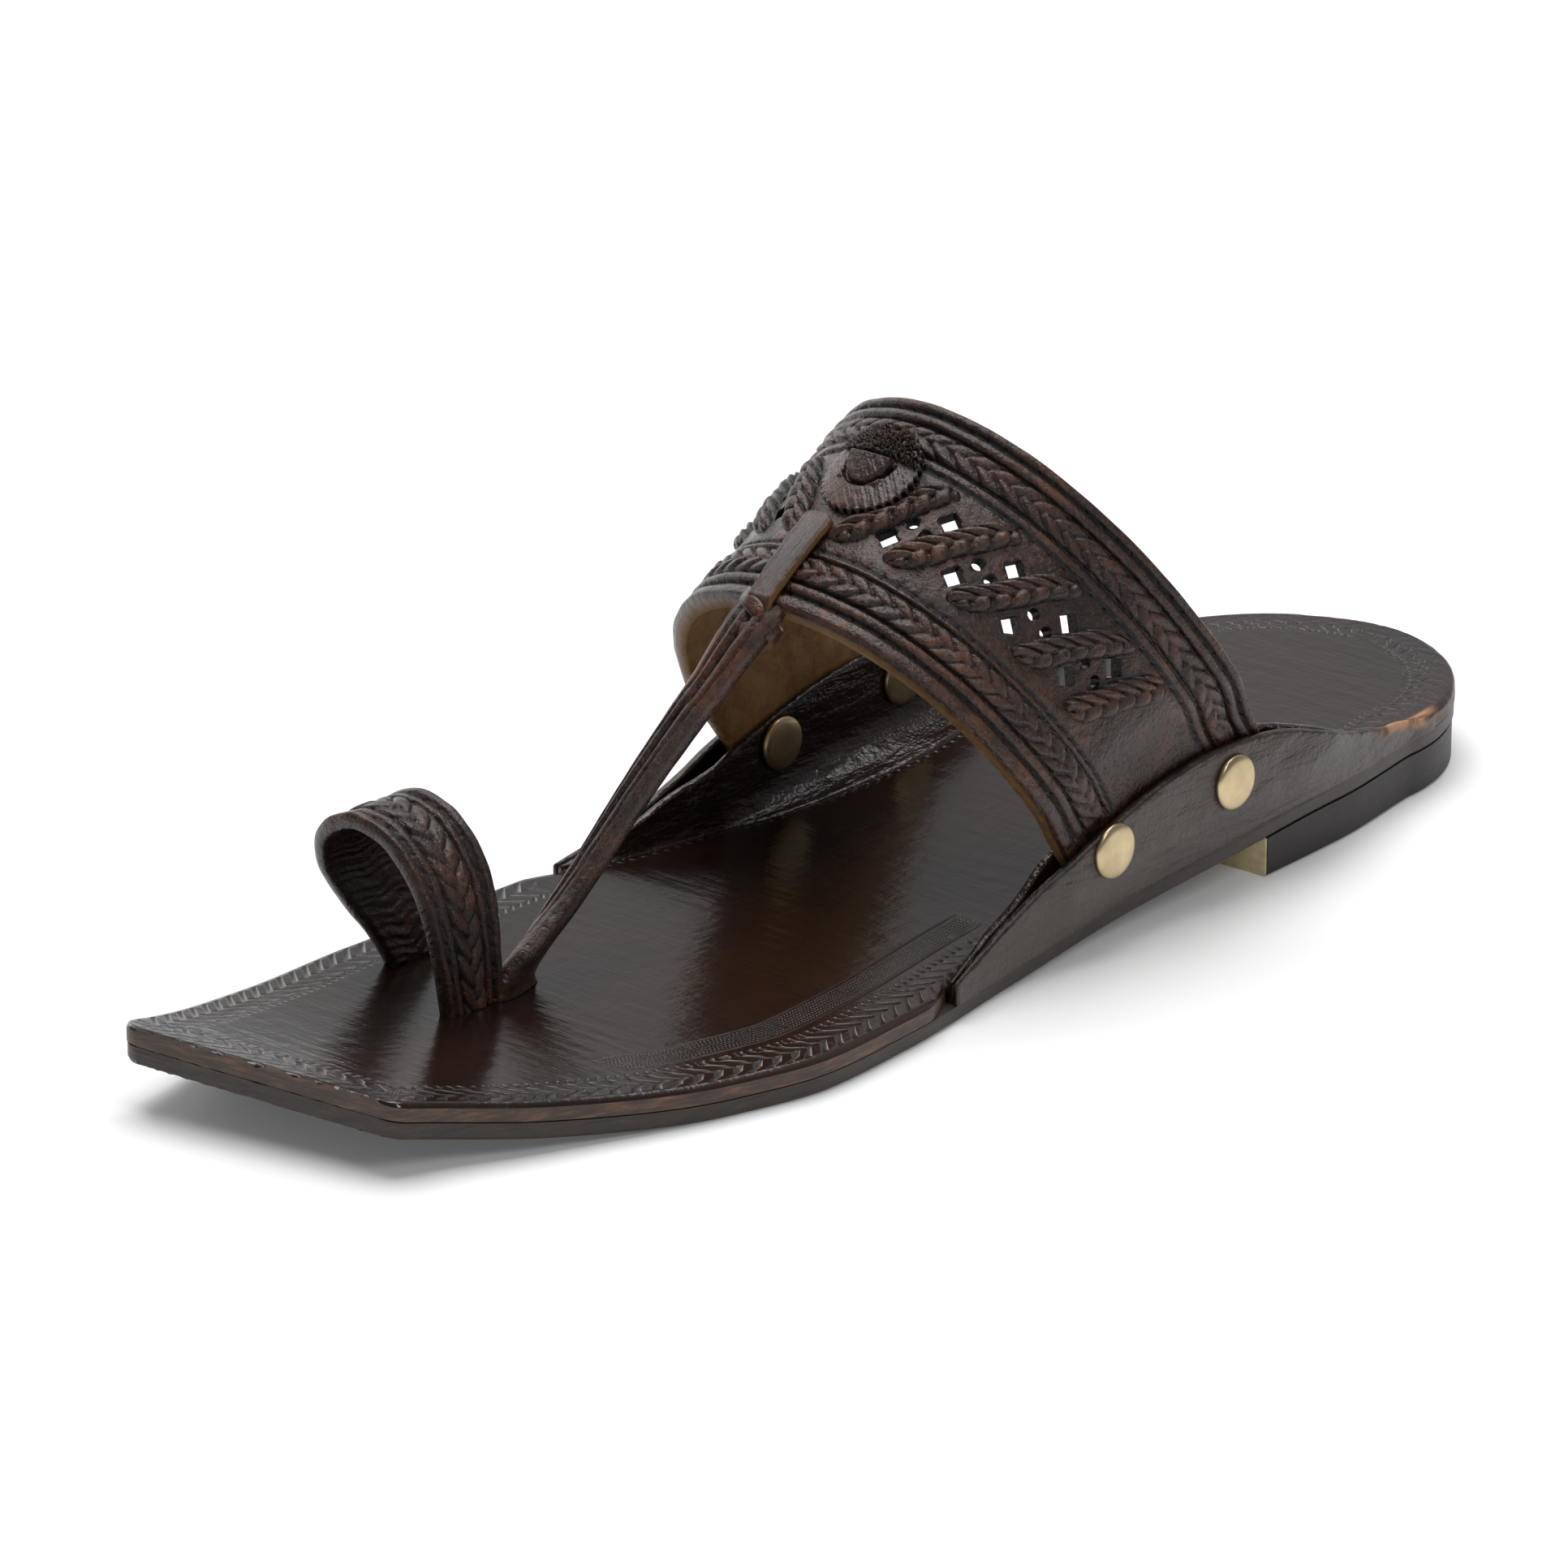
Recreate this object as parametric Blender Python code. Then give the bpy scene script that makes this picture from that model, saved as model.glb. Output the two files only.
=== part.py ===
"""Kolhapuri chappal, left sandal, as separate named solids.

Frame: metres, +Z up, floor at zero, toe toward -Y, heel toward +Y, wearer's lateral side +X.
A station is the distance from the back of the heel along a sole of STATION_LENGTH millimetres;
place() stretches stations to SOLE_LENGTH, so every piece keeps its place along a longer sole.
"""
import math

import bmesh
import bpy
from mathutils import Vector

MM = 0.001

# Sole sizes, millimetres
SOLE_LENGTH = 285.0
STATION_LENGTH = 285.0
BALL_HALF_WIDTH = 45.5
INSOLE_THICKNESS = 3.1
OUTSOLE_THICKNESS = 3.1
LAYER_GAP = 0.3
HEEL_LIFT = 8.0
HEEL_BLOCK_LENGTH = 84.0
HEEL_BLOCK_INSET = 0.5
HEEL_INSET_RUN = 6.0
HEEL_ARC_LENGTH = 35.0
HEEL_ARC_POWER = 1.9
ARCH_START_STATION = 62.0
ARCH_END_STATION = 165.0
TOE_SPRING_STATION = 215.0
TOE_SPRING_HEIGHT = 9.4
TOE_SLANT = 9.4
TOE_CORNER_MEDIAL = 4.5
TOE_CORNER_LATERAL = 3.0
SOLE_COLUMNS = 4

# Band sizes, millimetres
BAND_THICKNESS = 2.6
BAND_BASE_HALF_WIDTH = BALL_HALF_WIDTH * 6.0 / 7.0
BAND_FRONT_BULGE = 1.2
BAND_REAR_BULGE = 3.0
BAND_FRONT_HALF_WIDTH = BAND_BASE_HALF_WIDTH + BAND_FRONT_BULGE
BAND_REAR_HALF_WIDTH = BAND_BASE_HALF_WIDTH + BAND_REAR_BULGE
BAND_FRONT_CROWN = 62.6
BAND_FRONT_SHOULDER = 20.0
BAND_FRONT_STATION = 136.0
BAND_FRONT_END = 14.0
BAND_FRONT_POWER = 2.2
BAND_REAR_CROWN = 88.6
BAND_REAR_SHOULDER = 35.0
BAND_REAR_STATION = 108.6
BAND_REAR_LEAN_HEIGHT = 63.0
BAND_REAR_END = 20.0
BAND_REAR_POWER = 2.0
BAND_LEAN = 0.686
BAND_TUCK_RISE = 14.0
BAND_HEM_CLEAR = 2.0
BAND_ARCH_COLUMNS = 34
BAND_SKIRT_COLUMNS = 3
BORDER_HEIGHT = 0.7
BRAID_HEIGHT = 1.5
RIDGE_HEIGHT = 0.8

# Plaited bars and punched holes on the band, millimetres and degrees round the arch
BAR_WIDTH = 5.6
BAR_HEIGHT = 1.6
BAR_STATIONS = 9
BAR_FIRST_SHARE = 0.330
BAR_LAST_SHARE = 0.720
DIAMOND_HALF = 2.2
ROUND_RADIUS = 1.3
DIAMOND_SHARE_STEP = 0.082
ROUND_ANGLE_STEP = 2.2
ROUND_SHARE_STEP = -0.015
PANEL_SKEW = 9.0
PANEL_SKEW_END = 80.0

# Ears, millimetres
EAR_OUTER_THICKNESS = 1.8
EAR_INNER_THICKNESS = 1.6
EAR_FILLET_HEIGHT = 4.3
EAR_FLARE_HEIGHT = 9.5
EAR_CLEARANCE = 0.3
EAR_INNER_START = 60.0

# Thong, strap, loop, rosette and rivets, millimetres
STRAP_HALF_WIDTH = 2.9
STRAP_HEIGHT = 1.9
STRAP_END_SHARE = 0.400
LOOP_THICKNESS = 2.2
LOOP_COLUMNS = 26
LOOP_FOOT_GAP = 0.35
ROSETTE_RADIUS = 9.2
ROSETTE_TOOTH = 0.55
ROSETTE_TEETH = 18
ROSETTE_THICKNESS = 1.5
ROSETTE_SHARE = 0.65
ROSETTE_DEGREES = -0.8
TUFT_HEIGHT = 2.4
RIVET_HEAD_RADIUS = 4.9
RIVET_HEAD_HEIGHT = 1.3
RIVET_SHANK_RADIUS = 1.6
RIVET_HOLE_RADIUS = 1.9
RIVET_HOLE_REACH = 20.0

# Sole outline: station share of STATION_LENGTH, medial and lateral shares of BALL_HALF_WIDTH
SOLE_OUTLINE = (
    (0.123, 0.760, 0.721),
    (0.211, 0.804, 0.813),
    (0.316, 0.793, 0.846),
    (0.421, 0.811, 0.824),
    (0.526, 0.914, 0.866),
    (0.632, 0.993, 0.967),
    (0.702, 0.997, 1.000),
    (0.772, 1.000, 0.908),
    (0.877, 0.901, 0.655),
    (0.965, 0.778, 0.429),
    (1.000, 0.745, 0.404),
)

# Sole stations from heel to toe, millimetres
SOLE_STATIONS = (
    0.25, 1.2, 3.0, 6.0, 10.0, 15.0, 21.0, 28.0, 36.0, 46.0, 54.0, 62.0, 69.0, 75.0, 80.0, 84.0, 88.0,
    96.0, 104.0, 112.0, 120.0, 128.0, 136.0, 144.0, 150.0, 157.0, 164.0, 172.0, 176.0, 180.0, 190.0,
    200.0, 212.0, 224.0, 236.0, 248.0, 260.0, 269.0, 276.0, 280.0, 283.0, 284.6, 285.0,
)

# Insole edge set in from the outline under the ears: station, inset, millimetres
INSOLE_INSET = (
    (40.0, 0.0),
    (46.0, 1.8),
    (54.0, 3.2),
    (62.0, 5.0),
    (80.0, 9.0),
    (100.0, 12.0),
    (125.0, 9.5),
    (145.0, 6.2),
    (157.0, 5.2),
    (164.0, 4.3),
    (172.0, 2.7),
    (176.0, 1.2),
    (180.0, 0.0),
)

# Ear: station, height of the top edge, millimetres, share of the full outward flare, and share
# of the full ply thickness
EAR_SECTIONS = (
    (46.0, 16.6, 0.00, 0.60),
    (54.0, 18.6, 0.10, 0.80),
    (62.0, 20.9, 0.40, 1.00),
    (69.0, 23.4, 0.80, 1.00),
    (75.0, 25.4, 1.00, 1.00),
    (80.0, 26.9, 1.00, 1.00),
    (84.0, 27.8, 1.00, 1.00),
    (88.0, 28.4, 1.00, 1.00),
    (96.0, 29.0, 1.00, 1.00),
    (104.0, 28.9, 1.00, 1.00),
    (112.0, 27.9, 1.00, 1.00),
    (120.0, 26.2, 1.00, 1.00),
    (128.0, 23.8, 1.00, 1.00),
    (134.0, 21.8, 1.00, 1.00),
    (139.0, 20.0, 1.00, 1.00),
    (144.0, 17.8, 0.75, 1.00),
    (150.0, 15.2, 0.45, 1.00),
    (157.0, 12.0, 0.20, 1.00),
    (164.0, 9.4, 0.05, 0.80),
    (172.0, 7.1, 0.00, 0.50),
)

# Band rows: share of the width from the front edge, height above the wall, kind
BAND_ROWS = (
    (0.000, -0.5, "edge"),
    (0.022, 0.6, "border"),
    (0.048, 0.6, "border"),
    (0.070, -0.2, "groove"),
    (0.100, 1.0, "ridge"),
    (0.125, -0.2, "groove"),
    (0.152, 1.0, "braid_a"),
    (0.184, 0.5, "braid_mid"),
    (0.216, 1.0, "braid_b"),
    (0.242, -0.2, "groove"),
    (0.285, 0.0, "panel"),
    (0.500, 0.0, "panel"),
    (0.720, 0.0, "panel"),
    (0.783, -0.2, "groove"),
    (0.808, 1.0, "braid_a"),
    (0.839, 0.5, "braid_mid"),
    (0.870, 1.0, "braid_b"),
    (0.894, -0.2, "groove"),
    (0.919, 1.0, "ridge"),
    (0.952, -0.2, "groove"),
    (0.978, 0.6, "border"),
    (1.000, -0.5, "edge"),
)

# Plaited bars on one side: degrees at the front end, degrees at the rear end
BARS = (
    (1.6, 18.0),
    (16.8, 34.1),
    (33.6, 50.0),
    (50.9, 64.3),
    (66.6, 74.4),
)

# Hole groups between the bars on one side: degrees, share of the band width, degrees to a diamond
HOLE_GROUPS = (
    (17.5, 0.511, 4.9),
    (34.5, 0.509, 4.5),
    (49.6, 0.497, 4.0),
    (63.2, 0.511, 2.6),
)

# Thong: lateral position, station, height, half width, half depth in millimetres, turn in degrees
THONG_SECTIONS = (
    (-11.4, 216.4, 6.95, 6.2, 2.3, 76.0),
    (-11.2, 215.4, 9.5, 5.4, 2.3, 72.0),
    (-10.4, 211.6, 14.0, 4.4, 2.3, 60.0),
    (-9.4, 205.6, 20.0, 3.5, 2.3, 42.0),
    (-8.3, 198.6, 27.5, 3.1, 2.3, 26.0),
    (-7.2, 191.2, 35.5, 3.2, 2.3, 16.0),
    (-6.0, 183.2, 43.5, 3.4, 2.4, 10.0),
    (-4.6, 175.6, 51.0, 3.8, 2.5, 6.0),
    (-3.4, 169.4, 57.6, 4.6, 2.6, 4.0),
    (-2.7, 165.6, 61.4, 4.8, 2.0, 2.0),
    (-2.5, 162.6, 62.9, 4.2, 0.9, 0.0),
)

# Toe loop: lateral position, height of the outer face, station of the middle, half width, millimetres
LOOP_SECTIONS = (
    (-34.4, 6.95, 217.5, 5.4),
    (-35.6, 12.0, 219.5, 6.0),
    (-38.2, 19.0, 222.6, 7.0),
    (-39.6, 25.5, 225.2, 7.8),
    (-38.2, 31.6, 226.8, 8.2),
    (-34.0, 36.0, 227.4, 8.4),
    (-28.4, 37.8, 227.4, 8.4),
    (-22.6, 36.6, 227.2, 8.4),
    (-17.2, 32.6, 227.2, 8.3),
    (-13.2, 26.6, 227.2, 8.0),
    (-11.2, 19.0, 227.2, 7.4),
    (-10.2, 12.0, 227.2, 6.8),
    (-9.9, 6.95, 227.0, 6.4),
)

# Loop rows: share of the width, height above the wall
LOOP_ROWS = (
    (-1.00, -0.4),
    (-0.80, 0.5),
    (-0.52, -0.2),
    (-0.22, 1.0),
    (0.00, 0.5),
    (0.22, 1.0),
    (0.52, -0.2),
    (0.80, 0.5),
    (1.00, -0.4),
)

# Rivets: station and height, the same on both sides, millimetres
RIVETS = (
    ("front", 126.0, 18.9),
    ("rear", 94.5, 22.3),
)

MATERIALS = {
    "footbed_leather": ((0.045, 0.022, 0.014), 0.30, 0.0),
    "sole_leather": ((0.060, 0.030, 0.018), 0.50, 0.0),
    "heel_leather": ((0.035, 0.020, 0.014), 0.55, 0.0),
    "ear_leather": ((0.050, 0.036, 0.028), 0.45, 0.0),
    "upper_leather": ((0.065, 0.026, 0.015), 0.35, 0.0),
    "rosette_leather": ((0.055, 0.024, 0.016), 0.45, 0.0),
    "brass": ((0.60, 0.48, 0.27), 0.30, 1.0),
}


def clamp(value, low, high):
    return max(low, min(high, value))


def smooth(value, low, high):
    share = clamp((value - low) / (high - low), 0.0, 1.0)
    return share * share * (3.0 - 2.0 * share)


def signed_power(value, power):
    return math.copysign(abs(value) ** power, value)


def curve(table, column, position):
    """Monotone cubic through the first column and the chosen column of a table."""
    rows = len(table)
    if position <= table[0][0]:
        return table[0][column]
    if position >= table[-1][0]:
        return table[-1][column]
    steps = [table[i + 1][0] - table[i][0] for i in range(rows - 1)]
    slopes = [(table[i + 1][column] - table[i][column]) / steps[i] for i in range(rows - 1)]
    tangents = [slopes[0]]
    for i in range(1, rows - 1):
        if slopes[i - 1] * slopes[i] <= 0.0:
            tangents.append(0.0)
        else:
            before = 2.0 * steps[i] + steps[i - 1]
            after = steps[i] + 2.0 * steps[i - 1]
            tangents.append((before + after) / (before / slopes[i - 1] + after / slopes[i]))
    tangents.append(slopes[-1])
    i = 0
    while position > table[i + 1][0]:
        i += 1
    t = (position - table[i][0]) / steps[i]
    value = (2.0 * t ** 3 - 3.0 * t ** 2 + 1.0) * table[i][column]
    value += (t ** 3 - 2.0 * t ** 2 + t) * steps[i] * tangents[i]
    value += (3.0 * t ** 2 - 2.0 * t ** 3) * table[i + 1][column]
    value += (t ** 3 - t ** 2) * steps[i] * tangents[i + 1]
    return value


def place(lateral, station, height):
    """Point in metres from lateral position, station and height in millimetres."""
    along = SOLE_LENGTH * (0.5 - station / STATION_LENGTH)
    return Vector((lateral * MM, along * MM, height * MM))


def sole_bottom(station):
    """Height of the outsole's underside: heel lift, arch, flat ball, toe spring."""
    height = HEEL_LIFT * (1.0 - smooth(station, ARCH_START_STATION, ARCH_END_STATION))
    spring = max(0.0, station - TOE_SPRING_STATION) / (STATION_LENGTH - TOE_SPRING_STATION)
    return height + TOE_SPRING_HEIGHT * spring ** 2


def footbed_top(station):
    return sole_bottom(station) + OUTSOLE_THICKNESS + LAYER_GAP + INSOLE_THICKNESS


def half_width(station, side):
    """Half width of the sole at a station; side is +1 lateral, -1 medial."""
    column = 2 if side > 0 else 1
    width = BALL_HALF_WIDTH * curve(SOLE_OUTLINE, column, station / STATION_LENGTH)
    if station < HEEL_ARC_LENGTH:
        past = (HEEL_ARC_LENGTH - station) / HEEL_ARC_LENGTH
        width *= (1.0 - past ** HEEL_ARC_POWER) ** (1.0 / HEEL_ARC_POWER)
    return width


def edge_point(station, side):
    """Lateral position and station of the sole's edge, with the slanted toe and its corners."""
    if side > 0:
        corner = TOE_CORNER_LATERAL
        moved = station * (1.0 - TOE_SLANT / STATION_LENGTH)
    else:
        corner = TOE_CORNER_MEDIAL
        moved = station
    width = half_width(moved, side)
    past = clamp((station - (STATION_LENGTH - corner)) / corner, 0.0, 1.0)
    width -= corner * (1.0 - math.sqrt(1.0 - past ** 2))
    return side * width, moved


def insole_inset(station):
    return curve(INSOLE_INSET, 1, station)


def make_object(name, verts, faces, material, shade_smooth=False):
    mesh = bpy.data.meshes.new(name)
    mesh.from_pydata([tuple(v) for v in verts], [], faces)
    mesh.validate()
    work = bmesh.new()
    work.from_mesh(mesh)
    bmesh.ops.recalc_face_normals(work, faces=work.faces)
    work.to_mesh(mesh)
    work.free()
    body = bpy.data.objects.new(name, mesh)
    bpy.context.scene.collection.objects.link(body)
    if material is not None:
        mesh.materials.append(bpy.data.materials[material])
    for face in mesh.polygons:
        face.use_smooth = shade_smooth
    return body


def zip_faces(first, second):
    """Triangles between two open chains of vertex numbers with any two counts."""
    faces = []
    i = 0
    j = 0
    last_i = len(first) - 1
    last_j = len(second) - 1
    while i < last_i or j < last_j:
        if j == last_j or (i < last_i and (i + 1) * last_j <= (j + 1) * last_i):
            faces.append((first[i], first[i + 1], second[j]))
            i += 1
        else:
            faces.append((first[i], second[j + 1], second[j]))
            j += 1
    return faces


def sheet_solid(name, outer, inner, material, shade_smooth=False):
    """Closed wall between two grids of points; their row counts may differ, columns match."""
    verts = []
    grids = []
    for grid in (outer, inner):
        numbers = []
        for column in grid:
            numbers.append(list(range(len(verts), len(verts) + len(column))))
            verts.extend(column)
        grids.append(numbers)
    faces = []
    for number, grid in enumerate(grids):
        for i in range(len(grid) - 1):
            for j in range(len(grid[i]) - 1):
                face = (grid[i][j], grid[i + 1][j], grid[i + 1][j + 1], grid[i][j + 1])
                faces.append(face if number == 0 else face[::-1])
    top, low = grids
    for i in range(len(top) - 1):
        faces.append((top[i][0], low[i][0], low[i + 1][0], top[i + 1][0]))
        faces.append((top[i][-1], top[i + 1][-1], low[i + 1][-1], low[i][-1]))
    faces.extend(zip_faces(top[0], low[0]))
    faces.extend(zip_faces(top[-1], low[-1]))
    return make_object(name, verts, faces, material, shade_smooth)


def ring_solid(name, rings, material, shade_smooth=False):
    """Closed solid through rings of points with equal counts, closed by a fan at each end."""
    verts = []
    for ring in rings:
        verts.extend(ring)
    size = len(rings[0])
    faces = []
    for i in range(len(rings) - 1):
        for j in range(size):
            k = (j + 1) % size
            faces.append((i * size + j, i * size + k, (i + 1) * size + k, (i + 1) * size + j))
    for ring_number in (0, len(rings) - 1):
        start = ring_number * size
        middle = len(verts)
        centre = Vector((0.0, 0.0, 0.0))
        for point in rings[ring_number]:
            centre += point
        verts.append(centre / size)
        for j in range(size):
            faces.append((start + j, start + (j + 1) % size, middle))
    return make_object(name, verts, faces, material, shade_smooth)


def boolean(body, cutter, operation):
    """Apply one exact boolean and remove the other object."""
    cutter.hide_render = True
    cutter.display_type = "WIRE"
    modifier = body.modifiers.new("boolean", "BOOLEAN")
    modifier.operation = operation
    modifier.solver = "EXACT"
    modifier.object = cutter
    graph = bpy.context.evaluated_depsgraph_get()
    mesh = bpy.data.meshes.new_from_object(body.evaluated_get(graph))
    body.modifiers.clear()
    old = body.data
    body.data = mesh
    mesh.name = body.name
    bpy.data.meshes.remove(old)
    bpy.data.objects.remove(cutter)


def slab(name, low, high, stations, inset, material):
    """Layer of the sole between two height functions, cut to the outline less an inset."""
    upper_grid = []
    lower_grid = []
    for station in stations:
        medial, medial_station = edge_point(station, -1)
        lateral, lateral_station = edge_point(station, 1)
        medial += inset(station)
        lateral -= inset(station)
        upper_column = []
        lower_column = []
        for number in range(SOLE_COLUMNS + 1):
            share = number / SOLE_COLUMNS
            x = medial + (lateral - medial) * share
            s = medial_station + (lateral_station - medial_station) * share
            upper_column.append(place(x, s, high(s)))
            lower_column.append(place(x, s, low(s)))
        upper_grid.append(upper_column)
        lower_grid.append(lower_column)
    return sheet_solid(name, upper_grid, lower_grid, material)


def make_sole():
    def insole_low(station):
        return sole_bottom(station) + OUTSOLE_THICKNESS + LAYER_GAP

    def outsole_high(station):
        return sole_bottom(station) + OUTSOLE_THICKNESS

    def block_low(station):
        return 0.0

    def block_high(station):
        return sole_bottom(station) - LAYER_GAP

    def no_inset(station):
        return 0.0

    def block_inset(station):
        return HEEL_BLOCK_INSET * smooth(station, 0.0, HEEL_INSET_RUN)

    block_stations = [s for s in SOLE_STATIONS if s <= HEEL_BLOCK_LENGTH]
    slab("insole", insole_low, footbed_top, SOLE_STATIONS, insole_inset, "footbed_leather")
    slab("outsole", sole_bottom, outsole_high, SOLE_STATIONS, no_inset, "sole_leather")
    slab("heel", block_low, block_high, block_stations, block_inset, "heel_leather")


def band_edge(angle, drop, front):
    """Point of the band's front or rear edge: angle round the arch, drop down the skirt."""
    if front:
        half, crown, shoulder = BAND_FRONT_HALF_WIDTH, BAND_FRONT_CROWN, BAND_FRONT_SHOULDER
        power, end = 2.0 / BAND_FRONT_POWER, BAND_FRONT_END
        base_station, base_height = BAND_FRONT_STATION, BAND_FRONT_SHOULDER
    else:
        half, crown, shoulder = BAND_REAR_HALF_WIDTH, BAND_REAR_CROWN, BAND_REAR_SHOULDER
        power, end = 2.0 / BAND_REAR_POWER, BAND_REAR_END
        base_station, base_height = BAND_REAR_STATION, BAND_REAR_LEAN_HEIGHT
    x = half * signed_power(math.sin(angle), power)
    z = shoulder + (crown - shoulder) * max(0.0, math.cos(angle)) ** power
    z -= (z - end) * drop
    station = base_station + BAND_LEAN * (z - base_height)
    return Vector((x, station, z))


def band_middle(degrees, share, drop=0.0):
    """Point of the band's outer face in millimetres: lateral, station, height."""
    angle = math.radians(degrees)
    start = band_edge(angle, drop, True)
    end = band_edge(angle, drop, False)
    point = start + (end - start) * share
    hem = curve(EAR_SECTIONS, 1, point.y)
    excess = max(0.0, abs(point.x) - BAND_BASE_HALF_WIDTH)
    excess *= smooth(point.z, hem + BAND_HEM_CLEAR, hem + BAND_TUCK_RISE)
    if abs(point.x) > BAND_BASE_HALF_WIDTH:
        point.x = math.copysign(BAND_BASE_HALF_WIDTH + excess, point.x)
    return point


def band_normal(degrees, share, drop=0.0):
    step = 0.4
    if drop > 0.0:
        around = Vector((0.0, 0.0, -1.0)) if degrees > 0 else Vector((0.0, 0.0, 1.0))
    else:
        low = clamp(degrees - step, -90.0, 90.0)
        high = clamp(degrees + step, -90.0, 90.0)
        around = band_middle(high, share) - band_middle(low, share)
    across = band_middle(degrees, 1.0, drop) - band_middle(degrees, 0.0, drop)
    normal = across.cross(around)
    normal.normalize()
    if normal.x * degrees < 0.0 or (abs(degrees) < 1.0 and normal.z < 0.0):
        normal = -normal
    return normal


def band_point(degrees, share, raised, drop=0.0):
    """Point above the band's outer face, in metres."""
    point = band_middle(degrees, share, drop) + band_normal(degrees, share, drop) * raised
    return place(point.x, point.y, point.z)


def rosette_clear(point):
    """Zero under the rosette, one outside it, for relief on the band's outer face."""
    away = (point - band_middle(ROSETTE_DEGREES, ROSETTE_SHARE)).length
    return smooth(away, ROSETTE_RADIUS + 0.8, ROSETTE_RADIUS + 3.6)


def row_height(kind, share_height, column, degrees, share, drop):
    if kind in ("braid_a", "braid_b"):
        lobe = 1.0 if (column + (kind == "braid_b")) % 2 else 0.55
        height = BRAID_HEIGHT * share_height * lobe
    elif kind == "braid_mid":
        height = BRAID_HEIGHT * share_height
    elif kind == "ridge":
        height = RIDGE_HEIGHT * share_height
    elif kind in ("border", "edge"):
        height = BORDER_HEIGHT * share_height
    else:
        height = share_height
    middle = band_middle(degrees, share, drop)
    hem = curve(EAR_SECTIONS, 1, middle.y)
    height *= smooth(middle.z, hem + BAND_HEM_CLEAR, hem + BAND_HEM_CLEAR + 3.0)
    return height * rosette_clear(middle)


def make_band():
    columns = []
    for number in range(BAND_SKIRT_COLUMNS, 0, -1):
        columns.append((-90.0, number / BAND_SKIRT_COLUMNS))
    for number in range(2 * BAND_ARCH_COLUMNS + 1):
        columns.append((-90.0 + 90.0 * number / BAND_ARCH_COLUMNS, 0.0))
    for number in range(1, BAND_SKIRT_COLUMNS + 1):
        columns.append((90.0, number / BAND_SKIRT_COLUMNS))
    outer = []
    inner = []
    for number, (degrees, drop) in enumerate(columns):
        outer_column = []
        for share, share_height, kind in BAND_ROWS:
            height = row_height(kind, share_height, number, degrees, share, drop)
            outer_column.append(band_point(degrees, share, height, drop))
        outer.append(outer_column)
        inner.append([band_point(degrees, i / 2.0, -BAND_THICKNESS, drop) for i in range(3)])
    return sheet_solid("upper", outer, inner, "upper_leather")


def panel_degrees(side, degrees):
    """Angle on either side; the medial half starts past the strap, which lies off the crown."""
    if side > 0.0:
        return degrees
    return -(degrees + PANEL_SKEW * (1.0 - degrees / PANEL_SKEW_END))


def bar_frame(bar, side, share):
    start, end = bar
    degrees = start + (end - start) * (share - BAR_FIRST_SHARE) / (BAR_LAST_SHARE - BAR_FIRST_SHARE)
    return panel_degrees(side, degrees)


def make_bars():
    """Plaited bars as raised strips that stand in the wall of the band."""
    bodies = []
    for side in (-1.0, 1.0):
        for bar in BARS:
            first = BAR_FIRST_SHARE
            last = BAR_LAST_SHARE
            rings = []
            for i in range(BAR_STATIONS):
                t = i / (BAR_STATIONS - 1)
                share = first + (last - first) * t
                taper = math.sqrt(max(0.0, 1.0 - (2.0 * t - 1.0) ** 6))
                half = BAR_WIDTH / 2.0 * (0.35 + 0.65 * taper)
                degrees = bar_frame(bar, side, share)
                wide = (band_middle(degrees + 1.0, share) - band_middle(degrees, share)).length
                crest = BAR_HEIGHT * (0.4 + 0.6 * taper)
                lobe = 1.0 if i % 2 else 0.62
                other = 0.62 if i % 2 else 1.0
                shape = (
                    (-1.0, -0.7),
                    (-1.0, 0.35 * crest),
                    (-0.55, crest * lobe),
                    (0.0, crest * 0.55),
                    (0.55, crest * other),
                    (1.0, 0.35 * crest),
                    (1.0, -0.7),
                )
                ring = []
                for across, raised in shape:
                    around = degrees + across * half / wide
                    if raised > 0.0:
                        raised *= rosette_clear(band_middle(around, share))
                    ring.append(band_point(around, share, raised - 0.05))
                rings.append(ring)
            bodies.append(ring_solid("bar", rings, None))
    return bodies


def hole_prism(degrees, share, radius, sides, turn):
    """Prism through the wall, square to it."""
    centre = band_point(degrees, share, 0.0)
    normal = band_normal(degrees, share)
    axis = Vector((normal.x, -normal.y, normal.z))
    along = band_point(degrees, min(1.0, share + 0.05), 0.0) - centre
    along.normalize()
    side = axis.cross(along)
    side.normalize()
    rings = []
    for depth in (3.6, -BAND_THICKNESS - 1.6):
        ring = []
        for i in range(sides):
            angle = 2.0 * math.pi * (i + turn) / sides
            spread = along * math.cos(angle) * radius * MM + side * math.sin(angle) * radius * MM
            ring.append(centre + axis * depth * MM + spread)
        rings.append(ring)
    return ring_solid("hole", rings, None)


def make_holes():
    bodies = []
    for side in (-1.0, 1.0):
        for degrees, share, step in HOLE_GROUPS:
            for sign in (-1.0, 1.0):
                angle = panel_degrees(side, degrees + sign * step)
                where = share + sign * DIAMOND_SHARE_STEP
                bodies.append(hole_prism(angle, where, DIAMOND_HALF, 4, 0.0))
                angle = panel_degrees(side, degrees + sign * ROUND_ANGLE_STEP)
                where = share + sign * ROUND_SHARE_STEP
                bodies.append(hole_prism(angle, where, ROUND_RADIUS, 8, 0.5))
    return bodies


def join(bodies, name):
    """One object from several that do not touch."""
    work = bmesh.new()
    for body in bodies:
        work.from_mesh(body.data)
    mesh = bpy.data.meshes.new(name)
    work.to_mesh(mesh)
    work.free()
    for body in bodies:
        bpy.data.objects.remove(body)
    result = bpy.data.objects.new(name, mesh)
    bpy.context.scene.collection.objects.link(result)
    return result


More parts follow.
